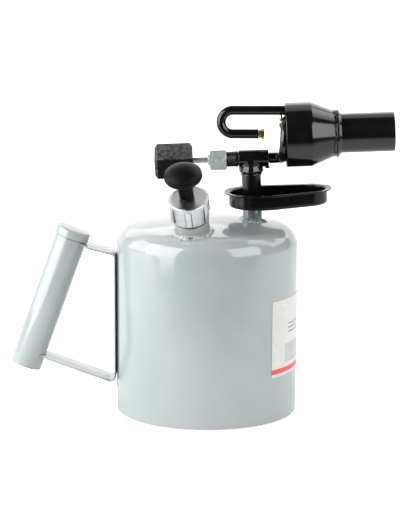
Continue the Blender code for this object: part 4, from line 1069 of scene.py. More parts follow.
    def build_label(self) -> None:
        """Makes the label, a thin film bent round the tank."""
        inner = self.radius + self.label_lift
        outer = inner + self.label_thickness
        foot = self.label_foot
        top = foot + self.label_height
        section = [(inner, foot), (outer, foot), (outer, top), (inner, top), (inner, foot)]
        start = Vector((cos(self.label_angle), -sin(self.label_angle)))
        outline = [(start.x * reach, start.y * reach, level) for reach, level in section]
        label = Bench.start("label_film", outline[0])
        Bench.draw(outline)
        bpy.ops.mesh.select_all(action="SELECT")
        bpy.ops.mesh.remove_doubles(threshold=MERGE_DISTANCE)
        bpy.ops.mesh.edge_face_add()
        bpy.ops.mesh.spin(
            steps=self.label_steps, angle=2 * self.label_angle, center=(0, 0, 0), axis=(0, 0, 1), dupli=False
        )
        Bench.close_up()
        bpy.ops.object.mode_set(mode="OBJECT")
        if max(vertex.co.y for vertex in label.data.vertices) < 0.01:
            Bench.reshape(label, lambda place: Matrix.Rotation(2 * self.label_angle, 3, "Z") @ place)
        fit(label, self.label_finish(), Body.LAMP, "label")

    def label_finish(self) -> Shader:
        """White film with a plain coloured band, a pale panel and thin rules."""
        shader = Palette.LABEL_FILM.shader("label_film_finish")
        place, _, side, level = shader.axes(HERE)
        soft = self.print_softness

        def between(value: Socket, low: float, high: float) -> Socket:
            """One where a value lies between two others, with soft edges.

            Args:
                value: the value's socket.
                low: the lower edge.
                high: the upper edge.

            Returns:
                The strip's socket.
            """
            return shader.product(
                shader.ramp(value, low - soft, low + soft), shader.fall(value, high - soft, high + soft)
            )

        def strip(low: float, high: float) -> Socket:
            """One between two heights above the label's foot."""
            return between(level, self.label_foot + low, self.label_foot + high)

        panel = shader.product(strip(*self.panel), between(side, -self.panel_half, self.panel_half))
        rules = [strip(low, low + self.rule_width) for low in self.rules]
        ruled = reduce(lambda first, second: shader.maths("ADD", first, second), rules)
        ruled = shader.product(ruled, between(side, -self.rule_half, self.rule_half))
        grey = shader.blend(shader.patches(place, self.panel_scale), Tint.PANEL_DARK, Tint.PANEL_PALE)
        shader.paint_over(panel, grey)
        shader.paint_over(ruled, Tint.RULE)
        shader.paint_over(strip(*self.band), Tint.BAND)
        return shader


@dataclass
class Handle:
    """The grip on its bent strap."""

    foot_x: float = -0.1314
    foot_height: float = 0.0321
    lean: float = radians(19.8)
    length: float = 0.1067
    radius: float = 0.0113
    wall: float = 0.0012
    cap_wall: float = 0.0008
    cap_depth: float = 0.0066
    cap_top: float = 0.0012
    strap_width: float = 0.0224
    tab_width: float = 0.0170
    shoulder_gap: float = 0.0006
    strap_thickness: float = 0.0013
    lower_slot: float = 0.0115
    upper_slot: float = 0.0084
    upper_straight: float = 0.0165
    upper_bend: float = 0.022
    corner_height: float = 0.1150
    corner_bend: float = 0.0035
    bend_steps: int = 8
    notch_half: float = 0.002
    strap_rounding: float = 0.00025
    scuff_x: float = 0.0725
    dirt_height: float = 0.0022
    tank_radius: float = 0.065

    @property
    def placement(self) -> Placement:
        """The grip's own frame, with Z up its axis."""
        return Placement((self.foot_x, 0.0, self.foot_height), self.lean)

    @property
    def web_x(self) -> float:
        """Place of the strap's web, along the tank's wall."""
        return -(self.tank_radius + GAP + self.strap_thickness / 2)

    @property
    def along(self) -> Vector:
        """Direction up the grip, in the XZ plane."""
        return Vector((sin(self.lean), cos(self.lean)))

    @property
    def across(self) -> Vector:
        """Direction of the strap's arms, from the grip to the tank."""
        return Vector((cos(self.lean), -sin(self.lean)))

    def slot_place(self, height: float) -> Vector:
        """Where the strap's line meets the grip's axis, in the XZ plane."""
        return Vector((self.foot_x, self.foot_height)) + self.along * height

    @property
    def corner_place(self) -> Vector:
        """The strap's lower corner in the XZ plane."""
        lower = self.slot_place(self.lower_slot)
        return lower + self.across * ((self.web_x - lower.x) / self.across.x)

    def line(self) -> list[Point]:
        """The strap's centre line in the XZ plane."""
        upper = self.slot_place(self.length - self.upper_slot)
        points = [
            upper,
            upper + self.across * self.upper_straight,
            (self.web_x, self.corner_height),
            self.corner_place,
            self.slot_place(self.lower_slot),
        ]
        return softened(points, [self.upper_bend, self.corner_bend, self.corner_bend], self.bend_steps)

    def build(self) -> None:
        """Makes the strap, the grip tube and its cap."""
        half = self.strap_width / 2
        line = [(x, -half, z) for x, z in self.line()]
        strap = Bench.start("strap", line[0])
        Bench.draw(line)
        bpy.ops.mesh.select_all(action="SELECT")
        bpy.ops.mesh.extrude_region_move(TRANSFORM_OT_translate={"value": (0, self.strap_width, 0)})
        bpy.ops.object.mode_set(mode="OBJECT")
        wall = strap.modifiers.new("Wall", "SOLIDIFY")
        wall.thickness = self.strap_thickness
        wall.offset = 0
        wall.use_even_offset = True
        Bench.apply(strap)
        reach = self.radius + self.shoulder_gap
        for level in (self.lower_slot, self.length - self.upper_slot):
            for side in (-1, 1):
                inner_y, outer_y = side * self.tab_width / 2, side * self.strap_width
                notch = Bench.block(
                    "notch",
                    (-self.notch_half, min(inner_y, outer_y), level - self.notch_half),
                    (reach, max(inner_y, outer_y), level + self.notch_half),
                )
                notch.data.transform(self.placement.matrix())
                Bench.combine(strap, notch, "DIFFERENCE")
        Bench.round_edges(strap, self.strap_rounding, 2, 50)
        fit(strap, self.strap_finish(), Body.LAMP, "handle_strap")

        inner = self.radius - self.wall
        top = self.length - self.cap_top - GAP
        corners = [(inner, top), (inner, 0), (self.radius, 0), (self.radius, top), (inner, top)]
        profile = softened(corners, [0.0004, 0.0004, 0], 4)
        tube = Bench.turned("grip", profile[:-1], MIDDLE_TURN_STEPS)
        half_width = self.tab_width / 2 + GAP
        half_height = self.strap_thickness / 2 + GAP
        for level in (self.lower_slot, self.length - self.upper_slot):
            slot = Bench.block(
                "slot",
                (0, -half_width, level - half_height),
                (2 * self.radius, half_width, level + half_height),
            )
            Bench.combine(tube, slot, "DIFFERENCE")
        fit(tube, self.grip_finish(), Body.LAMP, "grip_tube", self.placement)

        bore = self.radius + GAP
        outer = bore + self.cap_wall
        foot = self.length - self.cap_depth
        ceiling = self.length - self.cap_top
        corners = [
            (0, self.length), (outer, self.length), (outer, foot), (bore, foot), (bore, ceiling),
            (0, ceiling),
        ]
        profile = softened(corners, [0.0016, 0.0003, 0.0002, 0], 6)
        cap = Bench.turned("grip_end", profile, MIDDLE_TURN_STEPS)
        fit(cap, Palette.TANK_PAINT, Body.LAMP, "grip_cap", self.placement)

    def strap_finish(self) -> Shader:
        """The tank's paint, worn by the lower corner, with painted shade: black without coat on the strap's
        inner side by the tank, for the shadow in the gap behind the web.
        """
        shader = Palette.TANK_PAINT.shader("strap_paint")
        place, x, _, z = shader.axes(HERE)
        inner = -(self.tank_radius + GAP)
        # Painted shade: the strap's inner face and the inner part of its edges are painted black, with no
        # coat, for the shadow in the gap between web and tank.
        behind = shader.ramp(x, inner - 0.00055, inner - 0.00045)
        aside = shader.maths("ABSOLUTE", shader.maths("ADD", x, self.scuff_x))
        foot = self.corner_place.y
        low = shader.fall(z, foot + 0.006, foot + 0.008)
        patches = shader.patches(place, 420.0, 0.42, 0.56)
        shader.paint_over(shader.product(shader.fall(aside, 0.0022, 0.0034), low, patches), Tint.SCUFF)
        shader.paint_over(behind, Tint.PAINTED_GAP_SHADE)
        shader.give(shader.maths("SUBTRACT", 1.0, behind), "Coat Weight")
        return shader

    def grip_finish(self) -> Shader:
        """The tank's paint, with dirt on the grip's lower edge and a line of painted shade on the tube just
        below its cap's rim.
        """
        shader = Palette.TANK_PAINT.shader("grip_paint", self.placement)
        place, _, _, along = shader.axes(self.placement)
        low = shader.fall(along, 0.0, self.dirt_height)
        shader.paint_over(shader.product(low, shader.patches(place, 260.0, 0.48, 0.62)), Tint.DIRT)
        foot = self.length - self.cap_depth
        # Painted shade: a dark line on the tube just below the cap's rim, where the rim shades it.
        shader.paint_over(shader.ramp(along, foot - 0.0007, foot - 0.0005), Tint.PAINTED_RIM_SHADE)
        return shader


def weld_paint(name: str, placement: Placement) -> Shader:
    """The tank's paint with burnt specks, as on a painted weld.

    Args:
        name: the material's name.
        placement: the frame whose coordinates the specks follow.

    Returns:
        The shader.
    """
    shader = Palette.TANK_PAINT.shader(name, placement)
    place = shader.place(placement)
    shader.paint_over(shader.patches(place, 330.0, 0.57, 0.64), Tint.BURNT_WELD)
    shader.give(shader.dent(shader.noise(place, 420.0), 0.0008), "Normal")
    return shader


@dataclass
class WeldBead:
    """A hand-laid bead of weld round a stub that stands on the crown."""

    radius: float
    width: float
    height: float
    ripples: int = 34
    ripple_size: float = 0.05
    lumps: Sequence[tuple[int, float, float]] = ((3, 0.7, 0.16), (5, 2.1, 0.12), (9, 4.0, 0.10))
    sink: float = 0.0003
    steps: int = 10
    turn_steps: int = 180

    def build(self, name: str, tank: Tank, placement: Placement) -> Piece:
        """Makes the bead in the stub's frame.

        Args:
            name: its name.
            tank: the tank whose crown it lies on.
            placement: the stub's frame.

        Returns:
            The bead.
        """
        inner = self.radius - self.sink
        profile = [(inner, -self.sink), (inner, self.height)]
        for step in range(1, self.steps + 1):
            turn = pi / 2 * (1 - step / self.steps)
            profile.append((self.radius + self.width * cos(turn), self.height * sin(turn)))
        profile.append((self.radius + self.width, -self.sink))
        bead = Bench.turned(name, profile, self.turn_steps)

        def lay(place: Vector) -> Vector:
            """Gives a vertex its share of the bead's lumps and ripples, and lays it on the crown.

            Args:
                place: the vertex's place.

            Returns:
                Its new place.
            """
            reach, turn = polar(place)
            swell = 1 + waves(turn, *self.lumps)
            swell += self.ripple_size * abs(sin(self.ripples * turn / 2))
            out = max(0.0, reach - self.radius)
            wider = inner if out == 0 else self.radius + out * swell
            x, y = wider * cos(turn), wider * sin(turn)
            level = place.z * swell if place.z > 0 else place.z
            return Vector((x, y, level + tank.reach(placement, x, y)))

        Bench.reshape(bead, lay)
        return bead


@dataclass
class Filler:
    """The filler neck with its pump: gasket, cap, rod and knob."""

    tank: Tank
    x: float = -0.010
    y: float = -0.0435
    tilt: float = radians(28.1)
    heading: float = radians(-102.7)
    neck_radius: float = 0.0121
    neck_bore: float = 0.0103
    neck_height: float = 0.0105
    weld_width: float = 0.0029
    weld_height: float = 0.0022
    gasket: float = 0.001
    cap_height: float = 0.0166
    cap_top_thickness: float = 0.0045
    cap_foot_radius: float = 0.0129
    cap_neck_radius: float = 0.0138
    cap_rim_radius: float = 0.0143
    cap_rim_depth: float = 0.0024
    cap_dish: float = 0.0003
    rib_count: int = 6
    rib_width: float = 0.004
    rib_turn: float = radians(8)
    rod_radius: float = 0.0025
    stem_foot_radius: float = 0.0049
    stem_top_radius: float = 0.0055
    stem_height: float = 0.0160
    stem_offset: float = 0.0011
    head_offset: float = 0.0018
    knob_radius: float = 0.0133
    skirt_height: float = 0.0046
    lift: float = 0.0011
    dome_height: float = 0.0058
    knob_bore_depth: float = 0.014
    rim_lip: float = 0.0016
    rim_inset: float = 0.0021
    rib_sink: float = 0.0012
    rib_lift: float = 0.0014
    rib_overlap: float = 0.0002
    rib_softness: float = 0.0005
    mark_scale: float = 5200.0
    mark_depth: float = 0.00002
    dome_steps: int = 20
    head_steps: int = 128
    recess_width: float = 0.55
    recess_reach: float = 0.66
    recess_lift: float = 0.0016
    recess_drop: float = 0.0035
    recess_softness: float = 0.0007

    @property
    def placement(self) -> Placement:
        """The filler's own frame, with Z up the pump's axis."""
        height = self.tank.crown_height(hypot(self.x, self.y)) + self.lift
        return Placement((self.x, self.y, height), self.tilt, self.heading)

    @property
    def cap_foot(self) -> float:
        """Height of the cap's foot."""
        return self.neck_height + 2 * GAP + self.gasket

    @property
    def cap_top(self) -> float:
        """Height of the cap's top."""
        return self.cap_foot + self.cap_height

    def build(self) -> None:
        """Makes the neck, its weld, the gasket, the cap and the knob."""
        here, tank = self.placement, self.tank
        neck = tank.stub("neck", here, self.neck_bore, self.neck_radius, self.neck_height, 0.0004)
        # Painted shade: the neck wears a darker copy of the tank's paint.
        fit(neck, Palette.SHADED_NECK_PAINT.shader("shaded_neck_paint", here), Body.LAMP, "filler_neck", here)
        bead = WeldBead(self.neck_radius, self.weld_width, self.weld_height).build("neck_weld", tank, here)
        add_to(bead, weld_paint("neck_weld_paint", here), Body.LAMP, here)

        foot = self.neck_height + GAP
        top = foot + self.gasket
        inner = self.neck_bore - GAP + SLIDE_GAP
        corners = [(inner, foot), (self.neck_radius, foot), (self.neck_radius, top), (inner, top)]
        profile = softened(corners, [0.0003, 0.0003], 4)
        fit(Bench.turned("gasket", profile), Palette.RUBBER, Body.PUMP, "cap_gasket", here)
        fit(self.cap(), self.cap_finish(), Body.CAP, "pump_cap", here)
        fit(self.knob(), Palette.PUMP_PLASTIC, Body.PLUNGER, "pump_knob", here)

    def cap(self) -> Piece:
        """The cap: a tapered knob with raised ribs and a rolled rim."""
        foot, top = self.cap_foot, self.cap_top
        rim_foot = top - self.cap_rim_depth
        dish = top - self.cap_dish
        hole = self.rod_radius + SLIDE_GAP
        ceiling = top - self.cap_top_thickness
        corners = [
            (self.neck_bore, foot), (self.cap_foot_radius, foot), (self.cap_neck_radius, rim_foot),
            (self.cap_rim_radius, rim_foot + 0.0005), (self.cap_rim_radius, top),
            (self.cap_rim_radius - self.rim_lip, top), (self.cap_rim_radius - self.rim_inset, dish),
            (hole, dish), (hole, ceiling), (self.neck_bore, ceiling), (self.neck_bore, foot),
        ]
        profile = softened(corners, [0.0005, 0.0, 0.0002, 0.0008, 0.0003, 0.0002, 0.0003, 0, 0], 5)
        cap = Bench.turned("cap", profile[:-1])
        ribs = []
        for rib in range(self.rib_count):
            turn = self.rib_turn + tau * rib / self.rib_count
            bar = Bench.block(
                f"rib_{rib}",
                (self.cap_foot_radius - self.rib_sink, -self.rib_width / 2, foot + self.rib_lift),
                (self.cap_rim_radius, self.rib_width / 2, rim_foot + self.rib_overlap),
            )
            Bench.round_edges(bar, self.rib_softness, 3)
            bar.data.transform(Matrix.Rotation(turn, 4, "Z"))
            ribs.append(bar)
        Bench.take(ribs[0])
        for bar in ribs[1:]:
            bar.select_set(True)
        bpy.ops.object.join()
        Bench.combine(cap, ribs[0], "UNION")
        return cap

    def cap_finish(self) -> Shader:
        """Satin alloy with a machined top, its marks in rings, and a line of painted shade beside each rib.
        """
        here, top = self.placement, self.cap_top
        shader = Palette.ALLOY.shader("cap_alloy_finish", here)
        _, x, y, z = shader.axes(here)
        flat = shader.add("ShaderNodeCombineXYZ")
        shader.link(x, flat.inputs["X"])
        shader.link(y, flat.inputs["Y"])
        distance = shader.add("ShaderNodeVectorMath", operation="LENGTH")
        shader.link(flat.outputs["Vector"], distance.inputs[0])
        radius = distance.outputs["Value"]
        spread = shader.add("ShaderNodeCombineXYZ")
        shader.link(radius, spread.inputs["X"])
        rings = shader.noise(spread.outputs["Vector"], self.mark_scale, 2.0)
        inner_edge = self.cap_rim_radius - self.rim_inset
        inside = shader.fall(radius, inner_edge, inner_edge + 0.0003)
        on_top = shader.product(shader.ramp(z, top - 0.0010, top - 0.0006), inside)
        marks = shader.ramp(rings, NOISE_LOW, NOISE_HIGH)
        shader.paint_over(on_top, shader.blend(marks, Tint.MACHINED_DARK, Tint.MACHINED_PALE))

        # Painted shade: a dark line on the cap's side along each rib's flank.
        turn = shader.maths("SUBTRACT", shader.maths("ARCTAN2", y, x), self.rib_turn)
        aside = shader.product(shader.maths("PINGPONG", turn, pi / self.rib_count), radius)
        half = self.rib_width / 2
        outer_side = shader.fall(aside, half + 0.0003, half + 0.0007)
        line = shader.product(shader.ramp(aside, half - 0.00015, half), outer_side)
        below = shader.fall(z, top - 0.0042, top - 0.0030)
        shader.paint_over(shader.product(line, below), Tint.RIB_SHADE)
        normal = shader.dent(shader.product(rings, on_top), self.mark_depth, shader.given("Normal"))
        shader.give(normal, "Normal")
        return shader

    def knob(self) -> Piece:
        """The pump's knob: a mushroom head on a fluted stem, to one side of its rod."""
        stem_foot = self.cap_top - self.cap_dish + GAP
        stem_top = stem_foot + self.stem_height
        rim_top = stem_top + self.skirt_height
        radius = (self.knob_radius**2 + self.dome_height**2) / (2 * self.dome_height)
        centre = rim_top + self.dome_height - radius
        edge = asin((rim_top - centre) / radius)
        dome = arc((0, centre), radius, pi / 2, edge, self.dome_steps)
        dome[0] = (0, dome[0][1])
        rim = self.knob_radius
        corners = [
            dome[-2], (rim - 0.0006, rim_top), (rim - 0.0009, rim_top - 0.0006),
            (rim - 0.0002, rim_top - 0.0010), (rim, stem_top + 0.0018), (rim * 0.93, stem_top),
            (self.stem_top_radius + 0.0012, stem_top + 0.0004), (self.stem_top_radius, stem_top - 0.0012),
        ]
        lip = softened(corners, [0.0003, 0.0001, 0.0003, 0.0016, 0.0004, 0.0004], 5)
        head = Bench.turned("pump_head", dome[:-2] + lip + [(0, stem_top - 0.0012)], self.head_steps)
        Bench.reshape(head, lambda place: place - Vector((0, self.head_offset, 0)))
        stem_profile = [
            (0, stem_top - 0.0002), (self.stem_top_radius, stem_top - 0.0002),
            (self.stem_foot_radius + 0.0002, stem_foot + 0.0022),
            (self.stem_foot_radius + 0.0002, stem_foot + 0.0004),
            (self.stem_foot_radius - 0.0002, stem_foot), (0, stem_foot),
        ]
        stem = Bench.turned("stem", stem_profile, MIDDLE_TURN_STEPS)
        recess_half = self.stem_foot_radius * self.recess_width
        for side in (1, -1):
            recess = Bench.block(
                "recess",
                (self.stem_foot_radius * self.recess_reach, -recess_half, stem_foot + self.recess_lift),
                (2 * self.stem_foot_radius, recess_half, stem_top - self.recess_drop),
            )
            if side < 0:
                recess.data.transform(Matrix.Rotation(pi, 4, "Z"))
            Bench.round_edges(recess, self.recess_softness, 3)
            Bench.combine(stem, recess, "DIFFERENCE")

        def lean(place: Vector) -> Vector:
            """Sets the stem aside, more so towards its top.

            Args:
                place: the vertex's place.

            Returns:
                Its new place.
            """
            share = (place.z - stem_foot) / self.stem_height
            place.y -= self.stem_offset + (self.head_offset - self.stem_offset) * share
            return place

        Bench.reshape(stem, lean)
        Bench.combine(head, stem, "UNION")
        bore = self.rod_radius + SLIDE_GAP
        drill = Bench.rod("drill", bore, stem_foot - DRILL_OVERRUN / 2, stem_foot + self.knob_bore_depth)
        Bench.combine(head, drill, "DIFFERENCE")
        return head


@dataclass
class FuelRiser:
    """The outlet bush, the riser pipe with its welds, and the preheating tray."""

    tank: Tank
    x: float = 0.0326
    tilt: float = radians(2.2)
    bush_radius: float = 0.0068
    bush_bore: float = 0.0053
    bush_height: float = 0.0066
    bush_weld_width: float = 0.0030
    bush_weld_height: float = 0.0013
    valve_height: float = 0.0416
    tee_radius: float = 0.0062
    riser_radius: float = 0.0069
    riser_bore: float = 0.0032
    spigot_length: float = 0.0055
    weld_foot: float = 0.0300
    weld_radius: float = 0.0080
    wide_radius: float = 0.0245
    narrow_radius: float = 0.0185
    spacing: float = 0.0281
    tray_offset: float = 0.0081
    tray_turn: float = radians(9.5)
    tray_depth: float = 0.0106
    sheet: float = 0.0009
    tray_corner: float = 0.0024
    rim_width: float = 0.0033
    rim_rise: float = 0.0006
    lift: float = 0.0029
    saddle_half: float = 0.03
    weld_clearance: float = 0.00004
    weld_inset: float = 0.00002
    weld_steps: int = 160
    tray_steps: int = 180
    tray_middle: float = 0.3
    bush_ripples: int = 20

    @property
    def placement(self) -> Placement:
        """The head's frame, with Z up the riser's axis."""
        return Placement((self.x, 0.0, self.tank.crown_height(self.x) + self.lift), -self.tilt)

    def build(self) -> None:
        """Makes the bush, the riser, the welds and the tray."""
        self.build_bush()
        self.build_riser()
        self.build_tray()

    def build_bush(self) -> None:
        """Makes the bush on its weld bead."""
        here, tank = self.placement, self.tank
        bush = tank.stub(
            "bush", here, self.bush_bore, self.bush_radius, self.bush_height, 0.0005, MIDDLE_TURN_STEPS
        )
        # Painted shade: the bush wears a darker copy of the tank's paint, for the tray's shadow on it.
        fit(bush, Palette.SHADED_BUSH_PAINT, Body.LAMP, "outlet_bush", here)
        weld = WeldBead(self.bush_radius, self.bush_weld_width, self.bush_weld_height, self.bush_ripples)
        bead = weld.build("bush_weld", tank, here)
        add_to(bead, weld_paint("bush_weld_paint", here), Body.LAMP, here)

    def saddle(self, clearance: float) -> Piece:
        """A cutter that follows the tee's outside.

        Args:
            clearance: how far outside the tee it cuts.

        Returns:
            The cutter, in the head's frame.
        """
        radius, half = self.tee_radius + clearance, self.saddle_half
        cutter = Bench.rod("saddle", radius, -half, half, MIDDLE_TURN_STEPS)
        turn = Matrix.Rotation(pi / 2, 4, "Y")
        cutter.data.transform(Matrix.Translation((0, 0, self.valve_height)) @ turn)
        return cutter

    def build_riser(self) -> None:
        """Makes the riser pipe, and the weld that holds the tee on it."""
        here = self.placement
        spigot_foot = self.bush_height - self.spigot_length
        spigot_radius = self.bush_bore - GAP
        foot = self.bush_height + GAP + self.sheet + GAP
        top = self.valve_height
        corners = [
            (self.riser_bore, spigot_foot), (spigot_radius, spigot_foot), (spigot_radius, foot),
            (self.riser_radius, foot), (self.riser_radius, top), (self.riser_bore, top),
        ]
        profile = softened(corners, [0.0002, 0, 0.0004, 0])
        pipe = Bench.turned("riser", profile, MIDDLE_TURN_STEPS)
        Bench.combine(pipe, self.saddle(GAP), "DIFFERENCE")
        fit(pipe, Palette.ENAMEL, Body.LAMP, "riser_pipe", here)

        outer, foot = self.riser_radius, self.weld_foot
        inner = outer + self.weld_inset
        corners = [
            (inner, foot), (outer + 0.0007, foot), (outer + 0.0006, foot + 0.0010),
            (self.weld_radius + 0.0006, foot + 0.0026), (self.weld_radius + 0.0004, foot + 0.0048),
            (outer + 0.0008, foot + 0.0066), (outer + 0.0010, foot + 0.0086), (inner, foot + 0.0090),
        ]
        line = softened(corners, [0.0003, 0.0005, 0.0013, 0.0015, 0.0012, 0.0003], 6)
        bead = Bench.turned("riser_weld", line, self.weld_steps)

        def lump(place: Vector) -> Vector:
            """Gives the bead its lumps, and a foot that wanders.

            Args:
                place: the vertex's place.

            Returns:
                Its new place.
            """
            reach, turn = polar(place)
            swell = 1 + waves(turn, (3, 0.6, 0.14), (8, 1.9, 0.10), (13, 0.0, 0.06))
            drop = waves(turn, (2, 2.2, 0.0002), (5, 0.0, 0.00012))
            radius = inner + max(0.0, reach - inner) * swell
            return Vector((radius * cos(turn), radius * sin(turn), place.z + drop))

        Bench.reshape(bead, lump)
        Bench.combine(bead, self.saddle(self.weld_clearance), "DIFFERENCE")
        add_to(bead, Palette.WELD_ENAMEL, Body.LAMP, here)

    def build_tray(self) -> None:
        """Makes the tray: a round dish, turned, then drawn out into an egg."""
        here = self.placement
        foot = self.bush_height + GAP
        top = foot + self.tray_depth
        wide = self.wide_radius
        corner = self.tray_corner
        outside = arc((wide - corner, foot + corner), corner, -pi / 2, 0, 8)
        inside = arc((wide - corner, foot + corner), corner - self.sheet, 0, -pi / 2, 8)
        corners = [
            outside[-1], (wide, top - self.sheet),
            (wide + self.rim_width, top - self.sheet + self.rim_rise),
            (wide + self.rim_width, top + self.rim_rise), (wide - self.sheet, top), inside[0],
        ]
        rim = softened(corners, [0.0007, 0.0003, 0.0003, 0.0012], 6)
        middle = [(wide * share, foot) for share in (0, 0.25, 0.5, 0.75)]
        back = [(wide * share, foot + self.sheet) for share in (0.75, 0.5, 0.25, 0)]
        profile = middle + outside[:-1] + rim + inside[1:] + back
        dish = Bench.turned("tray", profile, self.tray_steps)
        flank = acos((wide - self.narrow_radius) / self.spacing)
        edge = wide - corner

        def egg(place: Vector) -> Vector:
            """Draws a vertex of the round dish out to the egg's outline.

            Args:
                place: the vertex's place.

            Returns:
                Its new place.
            """
            reach, turn = polar(place)
            narrow = abs(turn) < flank
            centre = self.spacing if narrow else 0.0
            radius = (self.narrow_radius if narrow else wide) + max(reach, edge) - wide
            share = min(1.0, reach / edge)
            middle_x = self.spacing * self.tray_middle
            x = middle_x + (centre + radius * cos(turn) - middle_x) * share
            y = radius * sin(turn) * share
            wave = waves(turn, (3, 0.8, 0.00022), (8, 0.0, 0.00014)) if reach > wide else 0.0
            return Vector((x + self.tray_offset, y, place.z + wave))

        Bench.reshape(dish, egg)
        dish.data.transform(Matrix.Rotation(self.tray_turn, 4, "Z"))
        drill = Bench.rod("drill", self.bush_bore, foot - DRILL_OVERRUN, foot + DRILL_OVERRUN, TUBE_STEPS)
        Bench.combine(dish, drill, "DIFFERENCE")
        fit(dish, Palette.TRAY_ENAMEL, Body.LAMP, "preheat_tray", here)


@dataclass
class NeedleValve:
    """The tee, the gland with its nut, the spindle and the knob. Z runs along the burner's way."""

    head: Placement
    axis_height: float = 0.0416
    tee_radius: float = 0.0062
    tee_bore: float = 0.0034
    tee_length: float = 0.0215
    tee_lead: float = 0.0088
    socket_depth: float = 0.004
    stub_spigot: float = 0.0046
    stub_radius: float = 0.0056
    stub_bore: float = 0.0024
    stub_back: float = -0.027375
    packing_bore: float = 0.0038
    packing_depth: float = 0.0055
    thread_pitch: float = 0.00125
    thread_depth: float = 0.00028
    nut_standoff: float = 0.0086
    nut_length: float = 0.0119
    nut_flats: float = 0.014
    nut_chamfer: float = 0.0009
    nut_shoulder: float = 0.0018
    nose_radius: float = 0.0040
    nose_length: float = 0.0014
    spindle_radius: float = 0.00215
    spindle_shown: float = 0.0108
    spindle_in_knob: float = 0.014
    knob_length: float = 0.0272
    knob_side: float = 0.0181
    knob_chamfer: float = 0.0022
    knob_end_chamfer: float = 0.0019
    knob_turn: float = radians(-14.0)
    recess_radius: float = 0.0045
    recess_depth: float = 0.0032
    screw_head: float = 0.0037
    screw_head_height: float = 0.0022
    screw_radius: float = 0.0015
    feed_radius: float = 0.0039
    feed_bore: float = 0.002
    feed_end: float = 0.0178
    feed_spigot: float = 0.0045
    port_radius: float = 0.0032
    port_length: float = 0.012
    drop_radius: float = 0.0012
    drop_stretch: tuple[float, float, float] = (0.7, 1.0, 1.5)
    stub_chamfer: float = 0.0003
    thread_row: float = 0.00025
    thread_run_out: float = 0.0012
    thread_fade: float = 0.001
    edge_softness: float = 0.00012
    needle_end: float = 0.0062
    needle_shoulder: float = 0.0025
    needle_tip: float = 0.0006
    knob_softness: float = 0.00035
    slot_half: float = 0.0005
    slot_reach: float = 0.005
    slot_turn: float = radians(35)

    @property
    def placement(self) -> Placement:
        """The valve's own frame, lying in the head."""
        return self.head.inner((0, 0, self.axis_height), pi / 2)

    @property
    def nut_back(self) -> float:
        """Place of the nut's back face."""
        return -self.tee_lead - self.nut_standoff - self.nut_length

    @property
    def knob_front(self) -> float:
        """Place of the knob's front face."""
        return self.nut_back - self.nose_length - self.spindle_shown

    def build(self) -> None:
        """Makes the valve's shown pieces."""
        self.build_tee()
        self.build_stub()
        self.build_nut()
        self.build_spindle()
        self.build_knob()

    def build_tee(self) -> None:
        """Makes the tee and the feed tube that leaves it."""
        here = self.placement
        back = -self.tee_lead
        front = back + self.tee_length
        socket = self.stub_spigot + GAP
        corners = [
            (socket, back), (self.tee_radius, back), (self.tee_radius, front), (self.tee_bore, front),
            (self.tee_bore, back + self.socket_depth), (socket, back + self.socket_depth),
        ]
        profile = softened(corners, [0.0005, 0.0005, 0.0002, 0])
        tee = Bench.turned("tee", profile, MIDDLE_TURN_STEPS)
        port = Bench.rod("port", self.port_radius, 0, self.port_length)
        port.data.transform(Matrix.Rotation(pi / 2, 4, "Y"))
        Bench.combine(tee, port, "DIFFERENCE")
        fit(tee, Palette.ENAMEL, Body.LAMP, "valve_body", here)

        drop = Bench.ball("weld_drop", self.drop_radius)
        drop.data.transform(Matrix.Diagonal((*self.drop_stretch, 1)))
        drop.data.transform(Matrix.Translation((self.tee_radius + 0.0003, -0.0012, front - 0.0010)))
        add_to(drop, Palette.WELD_ENAMEL, Body.LAMP, here)

        spigot = self.tee_bore - GAP
        corners = [
            (self.feed_bore, front - self.feed_spigot), (spigot, front - self.feed_spigot),
            (spigot, front + GAP), (self.feed_radius, front + GAP),
            (self.feed_radius, self.feed_end), (self.feed_bore, self.feed_end),
        ]
        profile = softened(corners, [0.0002, 0, 0.0004, 0])
        fit(Bench.turned("feed", profile, TUBE_STEPS), Palette.ENAMEL, Body.LAMP, "feed_tube", here)

    def build_stub(self) -> None:
        """Makes the gland's stub, with its thread."""
        here = self.placement
        back = self.stub_back
        front = -self.tee_lead - GAP
        socket_end = -self.tee_lead + self.socket_depth - GAP
        count = int((front - back) / self.thread_row) - 2
        first = front - self.stub_chamfer
        rows = [(self.stub_radius, first - self.thread_row * step) for step in range(count)]
        profile = [
            (self.stub_bore, socket_end), (self.stub_spigot, socket_end), (self.stub_spigot, front),
            (self.stub_radius - self.stub_chamfer, front), *rows,
            (self.stub_radius - self.stub_chamfer, back), (self.packing_bore, back),
            (self.packing_bore, back + self.packing_depth), (self.stub_bore, back + self.packing_depth),
        ]
        stub = Bench.turned("stub", profile, SMALL_TURN_STEPS)
        run_out = front - self.thread_run_out

        def thread(place: Vector) -> Vector:
            """Cuts the thread's helix into the stub's outside.

            Args:
                place: the vertex's place.

            Returns:
                Its new place.
            """
            reach, turn = polar(place)
            if reach < self.stub_radius - 0.0001 or place.z > run_out:
                return place
            phase = (place.z / self.thread_pitch - turn / tau) % 1
            fade = min(1.0, (run_out - place.z) / self.thread_fade)
            cut = self.thread_depth * (1 - abs(2 * phase - 1)) * fade
            share = (reach - cut) / reach
            return Vector((place.x * share, place.y * share, place.z))

        Bench.reshape(stub, thread)
        fit(stub, Palette.SATIN_ENAMEL, Body.LAMP, "gland_stub", here)

